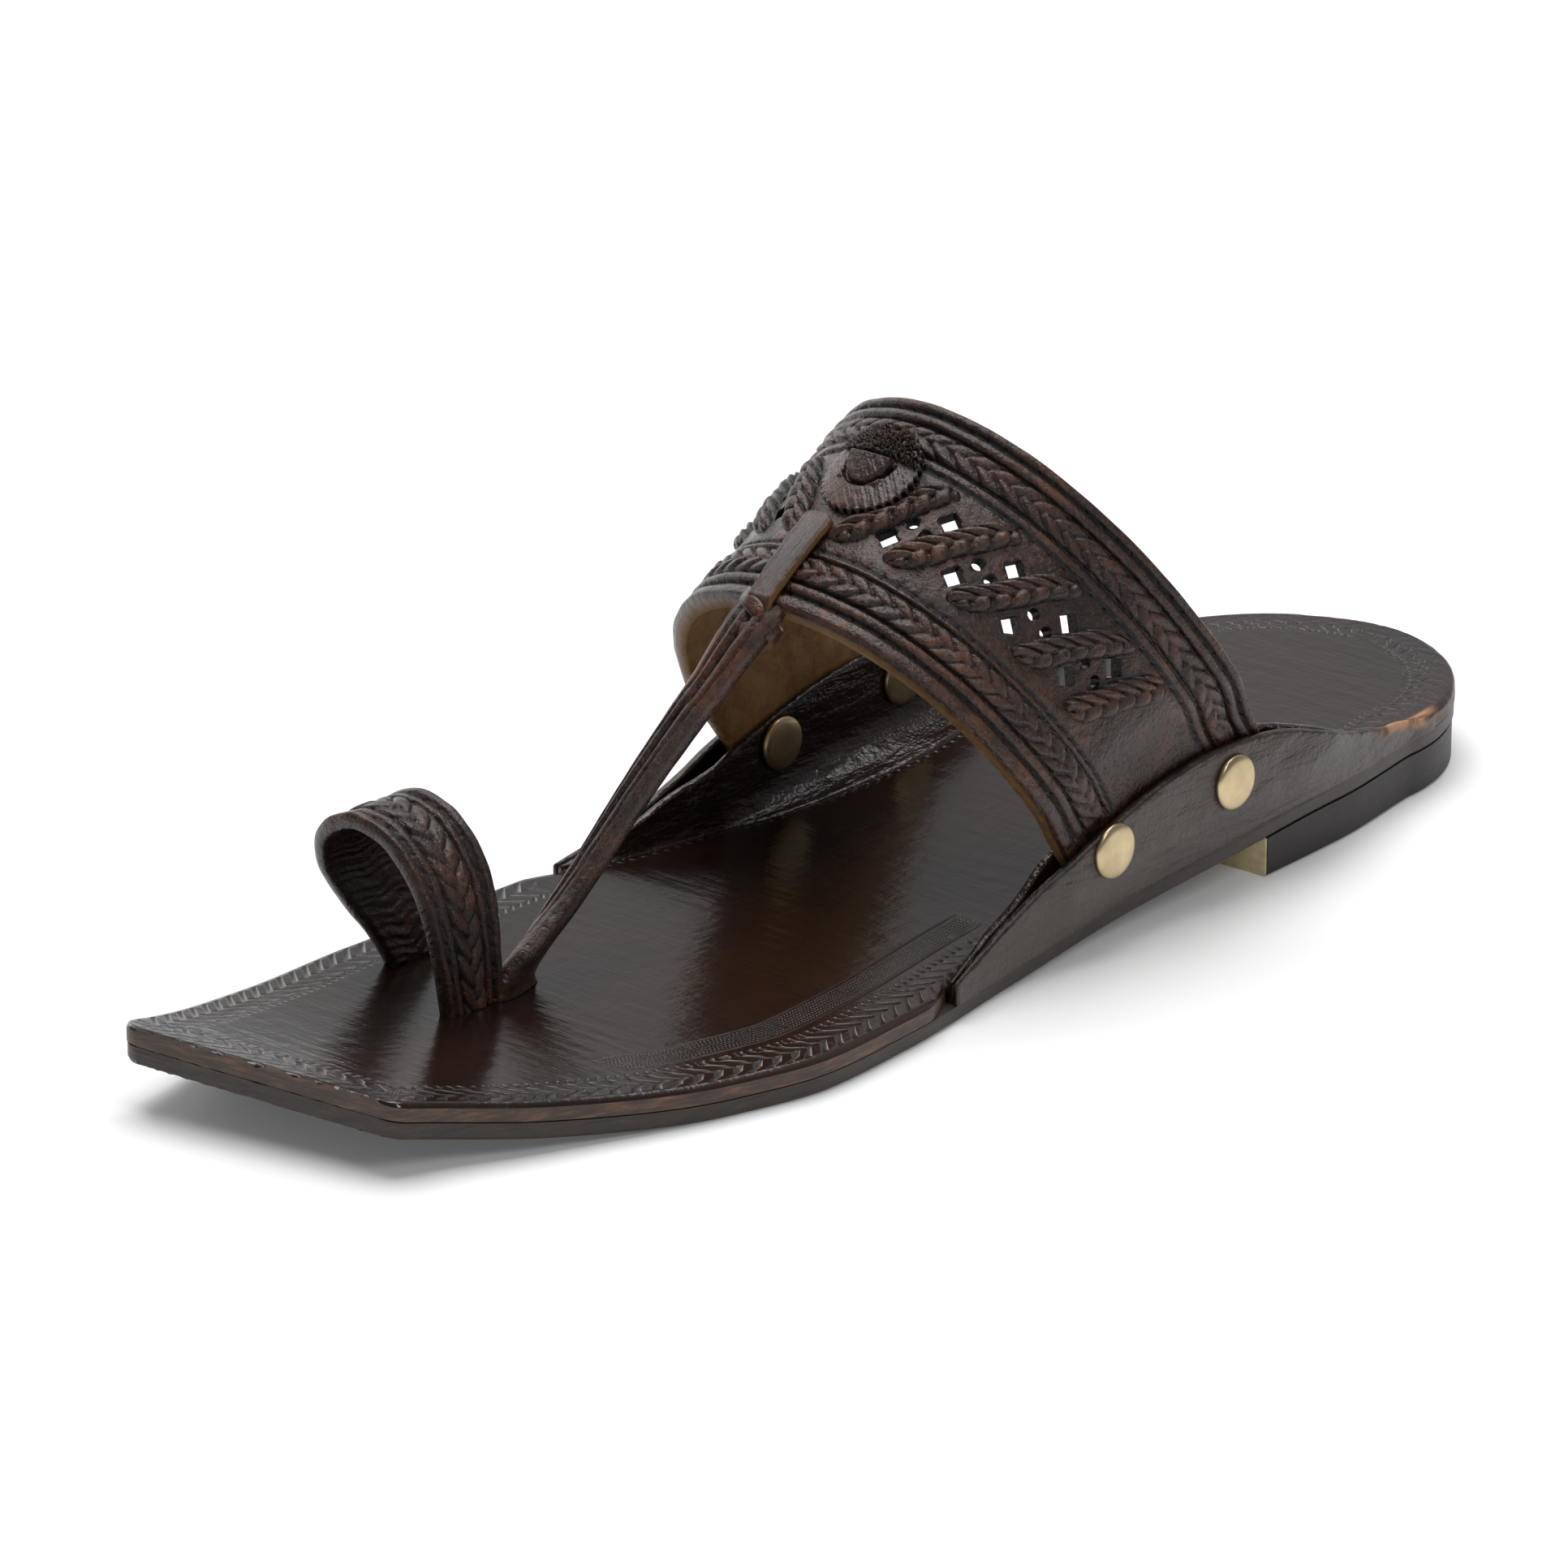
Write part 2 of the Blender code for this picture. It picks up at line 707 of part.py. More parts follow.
def make_thong():
    """Folded strip from the toe post to the band, two strands with a groove between them."""
    outline = (
        (-1.00, 0.0),
        (-0.80, 0.80),
        (-0.42, 1.00),
        (0.0, 0.45),
        (0.42, 1.00),
        (0.80, 0.80),
        (1.00, 0.0),
        (0.70, -0.85),
        (0.0, -1.00),
        (-0.70, -0.85),
    )
    rings = []
    for i, (x, s, z, half, depth, turn) in enumerate(THONG_SECTIONS):
        before = THONG_SECTIONS[max(0, i - 1)]
        after = THONG_SECTIONS[min(len(THONG_SECTIONS) - 1, i + 1)]
        run = Vector((after[0] - before[0], after[1] - before[1], after[2] - before[2]))
        run.normalize()
        if i == 0:
            run = Vector((0.0, 0.0, 1.0))
        wide = Vector((math.cos(math.radians(turn)), math.sin(math.radians(turn)), 0.0))
        wide = wide - run * wide.dot(run)
        wide.normalize()
        up = run.cross(wide)
        ring = []
        for across, out in outline:
            point = Vector((x, s, z)) + wide * across * half + up * out * depth
            ring.append(place(point.x, point.y, point.z))
        rings.append(ring)
    return ring_solid("thong", rings, None)


def make_strap():
    """Flat strap end that runs from the thong over the front border up to the rosette."""
    shares = (-0.035, 0.0, 0.06, 0.14, 0.21, 0.28, 0.34, STRAP_END_SHARE)
    lifts = (0.2, 1.0, 1.3, 1.5, 1.3, 1.0, 0.4, 0.2)
    rings = []
    for share, lift in zip(shares, lifts):
        degrees = -2.6 - 2.4 * share
        place_share = max(0.0, share)
        wide = (band_middle(degrees + 1.0, place_share) - band_middle(degrees, place_share)).length
        ring = []
        for across, raised in ((-1.0, -1.0), (-1.0, lift), (-0.8, lift + 0.8), (0.8, lift + 0.8), (1.0, lift), (1.0, -1.0)):
            ring.append(band_point(degrees + across * STRAP_HALF_WIDTH / wide, share, raised))
        rings.append(ring)
    return ring_solid("strap", rings, None)


def loop_section(share):
    """Lateral position, height, station and half width along the loop, share zero to one."""
    rows = len(LOOP_SECTIONS)
    table = tuple((i / (rows - 1),) + row for i, row in enumerate(LOOP_SECTIONS))
    return [curve(table, column, share) for column in (1, 2, 3, 4)]


def make_loop():
    outer = []
    inner = []
    for number in range(LOOP_COLUMNS + 1):
        share = number / LOOP_COLUMNS
        x, z, s, half = loop_section(share)
        xa, za = loop_section(max(0.0, share - 0.01))[:2]
        xb, zb = loop_section(min(1.0, share + 0.01))[:2]
        out = Vector((-(zb - za), 0.0, xb - xa))
        out.normalize()
        if number in (0, LOOP_COLUMNS):
            out = Vector((math.copysign(1.0, out.x), 0.0, 0.0))
        column = []
        for row, (across, raised) in enumerate(LOOP_ROWS):
            if abs(across) == 0.22:
                raised *= 1.0 if (number + (across > 0.0)) % 2 else 0.6
            height = z + out.z * raised
            if number in (0, LOOP_COLUMNS):
                height = footbed_top(s + across * half) + LOOP_FOOT_GAP
            column.append(place(x + out.x * raised, s + across * half, height))
        outer.append(column)
        low = []
        for across in (-1.0, 0.0, 1.0):
            height = z - out.z * LOOP_THICKNESS
            if number in (0, LOOP_COLUMNS):
                height = footbed_top(s + across * half) + LOOP_FOOT_GAP
            low.append(place(x - out.x * LOOP_THICKNESS, s + across * half, height))
        inner.append(low)
    return sheet_solid("loop", outer, inner, None)


def ear_outer_face(station, height, side):
    """Lateral position of the outer ply's outer face."""
    share = curve(EAR_SECTIONS, 2, station)
    edge, _ = edge_point(station, side)
    edge = abs(edge)
    full = BAND_BASE_HALF_WIDTH + EAR_CLEARANCE + EAR_OUTER_THICKNESS
    base = sole_bottom(station) + OUTSOLE_THICKNESS + LAYER_GAP
    rise = smooth(height, base - 2.0, base + EAR_FLARE_HEIGHT)
    return edge + (full - edge) * share * rise


def make_ear(side, word):
    outer_rings = []
    inner_rings = []
    for station, top, share, ply in EAR_SECTIONS:
        outer_ply = EAR_OUTER_THICKNESS * ply
        inner_ply = EAR_INNER_THICKNESS * ply
        _, real_station = edge_point(station, side)
        base = sole_bottom(real_station) + OUTSOLE_THICKNESS + LAYER_GAP
        heights = [base + (top - base) * t for t in (0.0, 0.25, 0.5, 0.75, 1.0)]
        if top - base > EAR_FLARE_HEIGHT + 1.0:
            third = EAR_FLARE_HEIGHT / 3.0
            heights = [base, base + third, base + 2.0 * third, base + EAR_FLARE_HEIGHT, top]
        faces_out = [ear_outer_face(station, z, side) for z in heights]
        ring = [place(side * x, real_station, z) for x, z in zip(faces_out, heights)]
        ring += [
            place(side * (x - outer_ply), real_station, z)
            for x, z in zip(faces_out[::-1], heights[::-1])
        ]
        outer_rings.append(ring)
        if station < EAR_INNER_START:
            continue
        bed = base + INSOLE_THICKNESS
        inset = insole_inset(station)
        edge = abs(edge_point(station, side)[0])
        foot = edge - inset + EAR_CLEARANCE
        gap = BAND_THICKNESS + 2.0 * EAR_CLEARANCE
        narrow = EAR_CLEARANCE
        between = narrow + (gap - narrow) * smooth(share, 0.3, 1.0)
        back = faces_out[-1] - outer_ply - between
        low_back = min(back, edge - outer_ply - EAR_CLEARANCE)
        face = back - inner_ply
        foot = min(foot, face)
        inner_top = max(top - 0.2, bed + 0.6)
        fillet = min(EAR_FILLET_HEIGHT, 0.8 * (inner_top - bed))
        ring = [place(side * foot, real_station, base)]
        for i in range(5):
            turn = math.radians(90.0 * i / 4.0)
            x = foot + (face - foot) * math.sin(turn)
            z = bed + fillet * (1.0 - math.cos(turn))
            ring.append(place(side * x, real_station, z))
        ring.append(place(side * face, real_station, inner_top))
        ring.append(place(side * back, real_station, inner_top))
        ring.append(place(side * back, real_station, bed + fillet))
        ring.append(place(side * low_back, real_station, base))
        inner_rings.append(ring)
    outer = ring_solid("ear_" + word + "_outer", outer_rings, "ear_leather")
    inner = ring_solid("ear_" + word + "_inner", inner_rings, "ear_leather")
    return outer, inner


def lathe(name, profile, side, station, height, sides, material):
    """Turned solid about a lateral axis: profile rows are lateral position and radius."""
    rings = []
    for x, radius in profile:
        ring = []
        for i in range(sides):
            angle = 2.0 * math.pi * i / sides
            ring.append(place(side * x, station + radius * math.sin(angle), height + radius * math.cos(angle)))
        rings.append(ring)
    return ring_solid(name, rings, material, True)


def make_rivet(side, word, where, station, height):
    outer = BAND_BASE_HALF_WIDTH + EAR_CLEARANCE + EAR_OUTER_THICKNESS + EAR_CLEARANCE
    inner = BAND_BASE_HALF_WIDTH - BAND_THICKNESS - 2.0 * EAR_CLEARANCE - EAR_INNER_THICKNESS
    profile = (
        (outer + RIVET_HEAD_HEIGHT, 0.35 * RIVET_HEAD_RADIUS),
        (outer + 0.85 * RIVET_HEAD_HEIGHT, 0.72 * RIVET_HEAD_RADIUS),
        (outer + 0.45 * RIVET_HEAD_HEIGHT, 0.95 * RIVET_HEAD_RADIUS),
        (outer, RIVET_HEAD_RADIUS),
        (outer, RIVET_SHANK_RADIUS),
        (inner, RIVET_SHANK_RADIUS),
        (inner, 0.9 * RIVET_HEAD_RADIUS),
        (inner - 0.4 * RIVET_HEAD_HEIGHT, 0.86 * RIVET_HEAD_RADIUS),
        (inner - 0.8 * RIVET_HEAD_HEIGHT, 0.4 * RIVET_HEAD_RADIUS),
    )
    lathe("rivet_" + word + "_" + where, profile, side, station, height, 12, "brass")


def rivet_cutters(side):
    bodies = []
    far = BAND_BASE_HALF_WIDTH + RIVET_HOLE_REACH
    near = BAND_BASE_HALF_WIDTH - RIVET_HOLE_REACH
    for _, station, height in RIVETS:
        profile = ((far, RIVET_HOLE_RADIUS), (near, RIVET_HOLE_RADIUS))
        bodies.append(lathe("cutter", profile, side, station, height, 10, None))
    return bodies


def make_rosette():
    """Pinked disc with a raised tab in front and a textured tuft behind, over the band's crown."""
    sectors = 2 * ROSETTE_TEETH
    radii = (0.0, 0.30, 0.55, 0.80, 1.0)
    outer = []
    inner = []
    wide = (band_middle(1.0, ROSETTE_SHARE) - band_middle(0.0, ROSETTE_SHARE)).length
    length = (band_middle(0.0, 1.0) - band_middle(0.0, 0.0)).length

    def disc_point(radius, angle, raised):
        x = radius * math.sin(angle)
        y = radius * math.cos(angle)
        return band_point(ROSETTE_DEGREES + x / wide, ROSETTE_SHARE + y / length, raised)

    verts = []
    faces = []
    for level in ("top", "low"):
        for ring, share in enumerate(radii):
            count = 1 if ring == 0 else sectors
            for i in range(count):
                angle = 2.0 * math.pi * i / sectors
                radius = ROSETTE_RADIUS * share
                if ring == len(radii) - 1:
                    radius += ROSETTE_TOOTH if i % 2 else -ROSETTE_TOOTH
                raised = LAYER_GAP
                if level == "top":
                    raised += ROSETTE_THICKNESS
                    behind = smooth(radius * math.cos(angle), 1.5, 3.5)
                    dome = math.sqrt(max(0.0, 1.0 - (share / 1.02) ** 2))
                    lock = 1.0 + 0.25 * math.cos(5.0 * angle + 9.0 * share)
                    raised += TUFT_HEIGHT * behind * dome * lock
                    tab = smooth(-radius * math.cos(angle), 0.0, 1.6)
                    tab *= 1.0 - smooth(abs(radius * math.sin(angle) + 0.8), 2.4, 3.6)
                    raised += 0.9 * tab * (1.0 - share)
                verts.append(disc_point(radius, angle, raised))
    block = 1 + sectors * (len(radii) - 1)
    for level in (0, 1):
        base = level * block
        for i in range(sectors):
            k = (i + 1) % sectors
            faces.append((base, base + 1 + i, base + 1 + k))
            for ring in range(len(radii) - 2):
                a = base + 1 + ring * sectors
                b = a + sectors
                faces.append((a + i, b + i, b + k, a + k))
    rim = 1 + (len(radii) - 2) * sectors
    for i in range(sectors):
        k = (i + 1) % sectors
        faces.append((rim + i, rim + k, block + rim + k, block + rim + i))
    return make_object("rosette", verts, faces, "rosette_leather")


def make_upper():
    upper = make_band()
    cutters = make_holes() + rivet_cutters(1.0) + rivet_cutters(-1.0)
    boolean(upper, join(cutters, "holes"), "DIFFERENCE")
    boolean(upper, join(make_bars(), "bars"), "UNION")
    boolean(upper, make_strap(), "UNION")
    tie = make_thong()
    boolean(tie, make_loop(), "UNION")
    boolean(upper, tie, "UNION")
    return upper


def main():
    for body in list(bpy.data.objects):
        bpy.data.objects.remove(body)
    for name, (colour, roughness, metallic) in MATERIALS.items():
        material = bpy.data.materials.new(name)
        material.use_nodes = True
        shader = material.node_tree.nodes["Principled BSDF"]
        shader.inputs["Base Color"].default_value = colour + (1.0,)
        shader.inputs["Roughness"].default_value = roughness
        shader.inputs["Metallic"].default_value = metallic
        material.diffuse_color = colour + (1.0,)
    make_sole()
    make_upper()
    for side, word in ((1.0, "lateral"), (-1.0, "medial")):
        for ply in make_ear(side, word):
            boolean(ply, join(rivet_cutters(side), "cutters"), "DIFFERENCE")
        for where, station, height in RIVETS:
            make_rivet(side, word, where, station, height)
    make_rosette()


main()
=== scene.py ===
"""Looks of the kolhapuri chappal: dense pieces that follow the part's own shape functions.

Lengths in the functions are millimetres in the part's terms: lateral position, station from the
back of the heel, height above the floor. place() turns them into the row frame's metres.
"""

import math
import random

import bmesh
import bpy
import numpy as np
from mathutils import Matrix, Vector

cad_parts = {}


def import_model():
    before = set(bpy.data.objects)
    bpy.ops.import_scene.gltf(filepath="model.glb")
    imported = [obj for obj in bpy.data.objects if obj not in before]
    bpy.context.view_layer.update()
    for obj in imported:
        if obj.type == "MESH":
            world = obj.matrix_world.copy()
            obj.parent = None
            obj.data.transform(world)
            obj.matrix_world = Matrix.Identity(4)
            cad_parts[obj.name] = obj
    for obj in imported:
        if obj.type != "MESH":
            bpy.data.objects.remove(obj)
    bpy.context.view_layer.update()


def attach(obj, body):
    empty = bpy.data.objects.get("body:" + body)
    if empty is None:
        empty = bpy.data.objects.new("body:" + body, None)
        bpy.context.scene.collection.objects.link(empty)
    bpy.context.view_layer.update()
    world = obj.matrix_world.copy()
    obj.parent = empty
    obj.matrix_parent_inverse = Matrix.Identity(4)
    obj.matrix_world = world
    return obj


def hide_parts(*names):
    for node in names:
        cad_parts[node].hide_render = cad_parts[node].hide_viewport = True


MM = 0.001

# Sole sizes, as in the part
SOLE_LENGTH = 285.0
BALL_HALF_WIDTH = 45.5
INSOLE_THICKNESS = 3.1
OUTSOLE_THICKNESS = 3.1
LAYER_GAP = 0.3
HEEL_LIFT = 8.0
HEEL_BLOCK_LENGTH = 84.0
HEEL_BLOCK_INSET = 0.5
HEEL_ARC_LENGTH = 35.0
HEEL_ARC_POWER = 1.9
ARCH_START_STATION = 62.0
ARCH_END_STATION = 165.0
TOE_SPRING_STATION = 215.0
TOE_SPRING_HEIGHT = 9.4
TOE_SLANT = 9.4
TOE_CORNER_MEDIAL = 4.5
TOE_CORNER_LATERAL = 3.0

# Band sizes, as in the part
BAND_THICKNESS = 2.6
BAND_BASE_HALF_WIDTH = 39.0
BAND_FRONT_HALF_WIDTH = 40.2
BAND_FRONT_CROWN = 62.6
BAND_FRONT_SHOULDER = 20.0
BAND_FRONT_STATION = 136.0
BAND_FRONT_END = 14.0
BAND_FRONT_POWER = 2.2
BAND_REAR_HALF_WIDTH = 42.0
BAND_REAR_CROWN = 88.6
BAND_REAR_SHOULDER = 35.0
BAND_REAR_STATION = 108.6
BAND_REAR_LEAN_HEIGHT = 63.0
BAND_REAR_END = 20.0
BAND_REAR_POWER = 2.0
BAND_LEAN = 0.686
BAND_TUCK_RISE = 14.0
BAND_HEM_CLEAR = 2.0

# Ears, rosette and rivets, as in the part
EAR_OUTER_THICKNESS = 1.8
EAR_INNER_THICKNESS = 1.6
EAR_FILLET_HEIGHT = 4.3
EAR_FLARE_HEIGHT = 9.5
EAR_CLEARANCE = 0.3
ROSETTE_SHARE = 0.65
ROSETTE_DEGREES = -0.8
PANEL_SKEW = 9.0
PANEL_SKEW_END = 80.0
ROSETTE_RADIUS = 9.2
RIVET_HEAD_RADIUS = 4.9
RIVET_HEAD_HEIGHT = 1.3

# Looks only
BRAID_PITCH = 4.3
BRAID_RISE = 1.15
STITCH_PITCH = 3.2
BAR_PITCH = 3.7
BAR_HALF_WIDTH = 2.9
BAR_RISE = 1.7
BAR_FIRST_SHARE = 0.330
BAR_LAST_SHARE = 0.720
HOLE_DIAMOND = 2.2
HOLE_ROUND = 1.15
STRAP_HALF_WIDTH = 2.9
STRAP_RUN = 22.0
THONG_RUN = 90.0
LOOP_THICKNESS = 2.2
EAR_RIM_START = 29.0
EAR_RIM_END = 46.0
EAR_END = 172.0
EAR_INNER_START = 60.0
PINKED_TEETH = 36
RIVET_SHANK_RADIUS = 1.6
FLOOR_SIZE = 12.0

# Camera
CAMERA_POSITION = (0.9413, -1.0532, 0.5670)
CAMERA_YAW = 42.342
CAMERA_PITCH = 21.0
CAMERA_LENS = 205.74

# Station share of SOLE_LENGTH, medial and lateral shares of BALL_HALF_WIDTH
SOLE_OUTLINE = (
    (0.123, 0.760, 0.721),
    (0.211, 0.804, 0.813),
    (0.316, 0.793, 0.846),
    (0.421, 0.811, 0.824),
    (0.526, 0.914, 0.866),
    (0.632, 0.993, 0.967),
    (0.702, 0.997, 1.000),
    (0.772, 1.000, 0.908),
    (0.877, 0.901, 0.655),
    (0.965, 0.778, 0.429),
    (1.000, 0.745, 0.404),
)

# Station, inset of the footbed's edge
INSOLE_INSET = (
    (40.0, 0.0),
    (46.0, 1.8),
    (54.0, 3.2),
    (62.0, 5.0),
    (80.0, 9.0),
    (100.0, 12.0),
    (125.0, 9.5),
    (145.0, 6.2),
    (157.0, 5.2),
    (164.0, 4.3),
    (172.0, 2.7),
    (176.0, 1.2),
    (180.0, 0.0),
)

# Station, height of the ear's top edge, share of flare, share of thickness
EAR_SECTIONS = (
    (46.0, 16.6, 0.00, 0.60),
    (54.0, 18.6, 0.10, 0.80),
    (62.0, 20.9, 0.40, 1.00),
    (69.0, 23.4, 0.80, 1.00),
    (75.0, 25.4, 1.00, 1.00),
    (80.0, 26.9, 1.00, 1.00),
    (84.0, 27.8, 1.00, 1.00),
    (88.0, 28.4, 1.00, 1.00),
    (96.0, 29.0, 1.00, 1.00),
    (104.0, 28.9, 1.00, 1.00),
    (112.0, 27.9, 1.00, 1.00),
    (120.0, 26.2, 1.00, 1.00),
    (128.0, 23.8, 1.00, 1.00),
    (134.0, 21.8, 1.00, 1.00),
    (139.0, 20.0, 1.00, 1.00),
    (144.0, 17.8, 0.75, 1.00),
    (150.0, 15.2, 0.45, 1.00),
    (157.0, 12.0, 0.20, 1.00),
    (164.0, 9.4, 0.05, 0.80),
    (172.0, 7.1, 0.00, 0.50),
)

# Bars on one side: degrees at the front end, degrees at the rear end
BARS = (
    (1.6, 18.0),
    (16.8, 34.1),
    (33.6, 50.0),
    (50.9, 64.3),
    (66.6, 74.4),
)

# Hole groups on one side: degrees, share of the band width, degrees to a diamond
HOLE_GROUPS = (
    (17.5, 0.511, 4.9),
    (34.5, 0.509, 4.5),
    (49.6, 0.497, 4.0),
    (63.2, 0.511, 2.6),
)

# Relief across the band: share of the middle, half width as a share, height
BAND_RIDGES = (
    (0.031, 0.033, 0.85),
    (0.099, 0.022, 0.85),
    (0.256, 0.018, 0.30),
    (0.760, 0.020, 0.30),
    (0.919, 0.023, 0.90),
    (0.977, 0.023, 0.75),
)

# Share of a groove that is painted dark as shade, depth
BAND_GROOVES = (
    (0.124, 0.45),
    (0.242, 0.60),
    (0.783, 0.60),
    (0.894, 0.45),
)

# Share of each row of stitches
BAND_STITCHES = (0.070, 0.276, 0.733, 0.952)

# Low end, high end and direction of each braid
BAND_BRAIDS = (
    (0.128, 0.239, 1.0),
    (0.787, 0.891, -1.0),
)

# Thong: share, lateral position, station, height, half width, half depth, turn in degrees
THONG_SECTIONS = (
    (0.0, -11.4, 216.4, 6.6, 6.2, 2.3, 76.0),
    (0.1, -11.2, 215.4, 9.5, 5.4, 2.3, 72.0),
    (0.2, -10.4, 211.6, 14.0, 4.4, 2.3, 60.0),
    (0.3, -9.4, 205.6, 20.0, 3.5, 2.3, 42.0),
    (0.4, -8.3, 198.6, 27.5, 3.1, 2.3, 26.0),
    (0.5, -7.2, 191.2, 35.5, 3.2, 2.3, 16.0),
    (0.6, -6.0, 183.2, 43.5, 3.4, 2.4, 10.0),
    (0.7, -4.6, 175.6, 51.0, 3.8, 2.5, 6.0),
    (0.8, -3.4, 169.4, 57.6, 4.6, 2.6, 4.0),
    (0.9, -2.7, 165.6, 61.4, 4.8, 2.0, 2.0),
    (1.0, -2.5, 162.6, 62.9, 4.2, 0.9, 0.0),
)

# Loop: share, lateral position, height of the outer face, station of the middle, half width
LOOP_SECTIONS = (
    (0.000, -34.4, 6.7, 217.5, 5.4),
    (0.083, -35.6, 12.0, 219.5, 6.0),
    (0.167, -38.2, 19.0, 222.6, 7.0),
    (0.250, -39.6, 25.5, 225.2, 7.8),
    (0.333, -38.2, 31.6, 226.8, 8.2),
    (0.417, -34.0, 36.0, 227.4, 8.4),
    (0.500, -28.4, 37.8, 227.4, 8.4),
    (0.583, -22.6, 36.6, 227.2, 8.4),
    (0.667, -17.2, 32.6, 227.2, 8.3),
    (0.750, -13.2, 26.6, 227.2, 8.0),
    (0.833, -11.2, 19.0, 227.2, 7.4),
    (0.917, -10.2, 12.0, 227.2, 6.8),
    (1.000, -9.9, 6.7, 227.0, 6.4),
)

# Toe loop ridges: middle as a share of the half width, half width as a share, rise in millimetres
LOOP_RIDGES = (
    (-0.88, 0.13, 0.75),
    (0.88, 0.13, 0.75),
    (-0.54, 0.10, 0.5),
    (0.54, 0.10, 0.5),
)

# Rivets: station, height
RIVETS = (
    (126.0, 18.9),
    (94.5, 22.3),
)


def clamp(value, low, high):
    return max(low, min(high, value))


def smooth(value, low, high):
    share = clamp((value - low) / (high - low), 0.0, 1.0)
    return share * share * (3.0 - 2.0 * share)


def bump(value, centre, half):
    """Rounded ridge: one at the centre, zero at half a width away and beyond."""
    share = (value - centre) / half
    return max(0.0, 1.0 - share * share)


def signed_power(value, power):
    return math.copysign(abs(value) ** power, value)


def curve(table, column, position):
    """Monotone cubic through the first column and the chosen column of a table."""
    rows = len(table)
    if position <= table[0][0]:
        return table[0][column]
    if position >= table[-1][0]:
        return table[-1][column]
    steps = [table[i + 1][0] - table[i][0] for i in range(rows - 1)]
    slopes = [(table[i + 1][column] - table[i][column]) / steps[i] for i in range(rows - 1)]
    tangents = [slopes[0]]
    for i in range(1, rows - 1):
        if slopes[i - 1] * slopes[i] <= 0.0:
            tangents.append(0.0)
        else:
            before = 2.0 * steps[i] + steps[i - 1]
            after = steps[i] + 2.0 * steps[i - 1]
            tangents.append((before + after) / (before / slopes[i - 1] + after / slopes[i]))
    tangents.append(slopes[-1])
    i = 0
    while position > table[i + 1][0]:
        i += 1
    t = (position - table[i][0]) / steps[i]
    value = (2.0 * t ** 3 - 3.0 * t ** 2 + 1.0) * table[i][column]
    value += (t ** 3 - 2.0 * t ** 2 + t) * steps[i] * tangents[i]
    value += (3.0 * t ** 2 - 2.0 * t ** 3) * table[i + 1][column]
    value += (t ** 3 - t ** 2) * steps[i] * tangents[i + 1]
    return value


def place(lateral, station, height):
    return Vector((lateral * MM, (SOLE_LENGTH / 2.0 - station) * MM, height * MM))


def sole_bottom(station):
    height = HEEL_LIFT * (1.0 - smooth(station, ARCH_START_STATION, ARCH_END_STATION))
    spring = max(0.0, station - TOE_SPRING_STATION) / (SOLE_LENGTH - TOE_SPRING_STATION)
    return height + TOE_SPRING_HEIGHT * spring ** 2


def footbed_top(station):
    return sole_bottom(station) + OUTSOLE_THICKNESS + LAYER_GAP + INSOLE_THICKNESS


def half_width(station, side):
    column = 2 if side > 0 else 1
    width = BALL_HALF_WIDTH * curve(SOLE_OUTLINE, column, station / SOLE_LENGTH)
    if station < HEEL_ARC_LENGTH:
        past = (HEEL_ARC_LENGTH - station) / HEEL_ARC_LENGTH
        width *= (1.0 - past ** HEEL_ARC_POWER) ** (1.0 / HEEL_ARC_POWER)
    return width


def edge_point(station, side):
    if side > 0:
        corner = TOE_CORNER_LATERAL
        moved = station * (1.0 - TOE_SLANT / SOLE_LENGTH)
    else:
        corner = TOE_CORNER_MEDIAL
        moved = station
    width = half_width(moved, side)
    past = clamp((station - (SOLE_LENGTH - corner)) / corner, 0.0, 1.0)
    width -= corner * (1.0 - math.sqrt(1.0 - past ** 2))
    return side * width, moved


def insole_inset(station):
    return curve(INSOLE_INSET, 1, station)


def band_edge(angle, drop, front):
    if front:
        half, crown, shoulder = BAND_FRONT_HALF_WIDTH, BAND_FRONT_CROWN, BAND_FRONT_SHOULDER
        power, end = 2.0 / BAND_FRONT_POWER, BAND_FRONT_END
        base_station, base_height = BAND_FRONT_STATION, BAND_FRONT_SHOULDER
    else:
        half, crown, shoulder = BAND_REAR_HALF_WIDTH, BAND_REAR_CROWN, BAND_REAR_SHOULDER
        power, end = 2.0 / BAND_REAR_POWER, BAND_REAR_END
        base_station, base_height = BAND_REAR_STATION, BAND_REAR_LEAN_HEIGHT
    x = half * signed_power(math.sin(angle), power)
    z = shoulder + (crown - shoulder) * max(0.0, math.cos(angle)) ** power
    z -= (z - end) * drop
    station = base_station + BAND_LEAN * (z - base_height)
    return Vector((x, station, z))


def band_middle(degrees, share, drop=0.0):
    angle = math.radians(degrees)
    start = band_edge(angle, drop, True)
    end = band_edge(angle, drop, False)
    point = start + (end - start) * share
    hem = ear_top(point.y)
    excess = max(0.0, abs(point.x) - BAND_BASE_HALF_WIDTH)
    excess *= smooth(point.z, hem + BAND_HEM_CLEAR, hem + BAND_TUCK_RISE)
    if abs(point.x) > BAND_BASE_HALF_WIDTH:
        point.x = math.copysign(BAND_BASE_HALF_WIDTH + excess, point.x)
    return point


EAR_STATIONS = np.linspace(40.0, 180.0, 561)
EAR_HEIGHTS = np.array([curve(EAR_SECTIONS, 1, s) for s in EAR_STATIONS])


def ear_top(station):
    return float(np.interp(station, EAR_STATIONS, EAR_HEIGHTS))


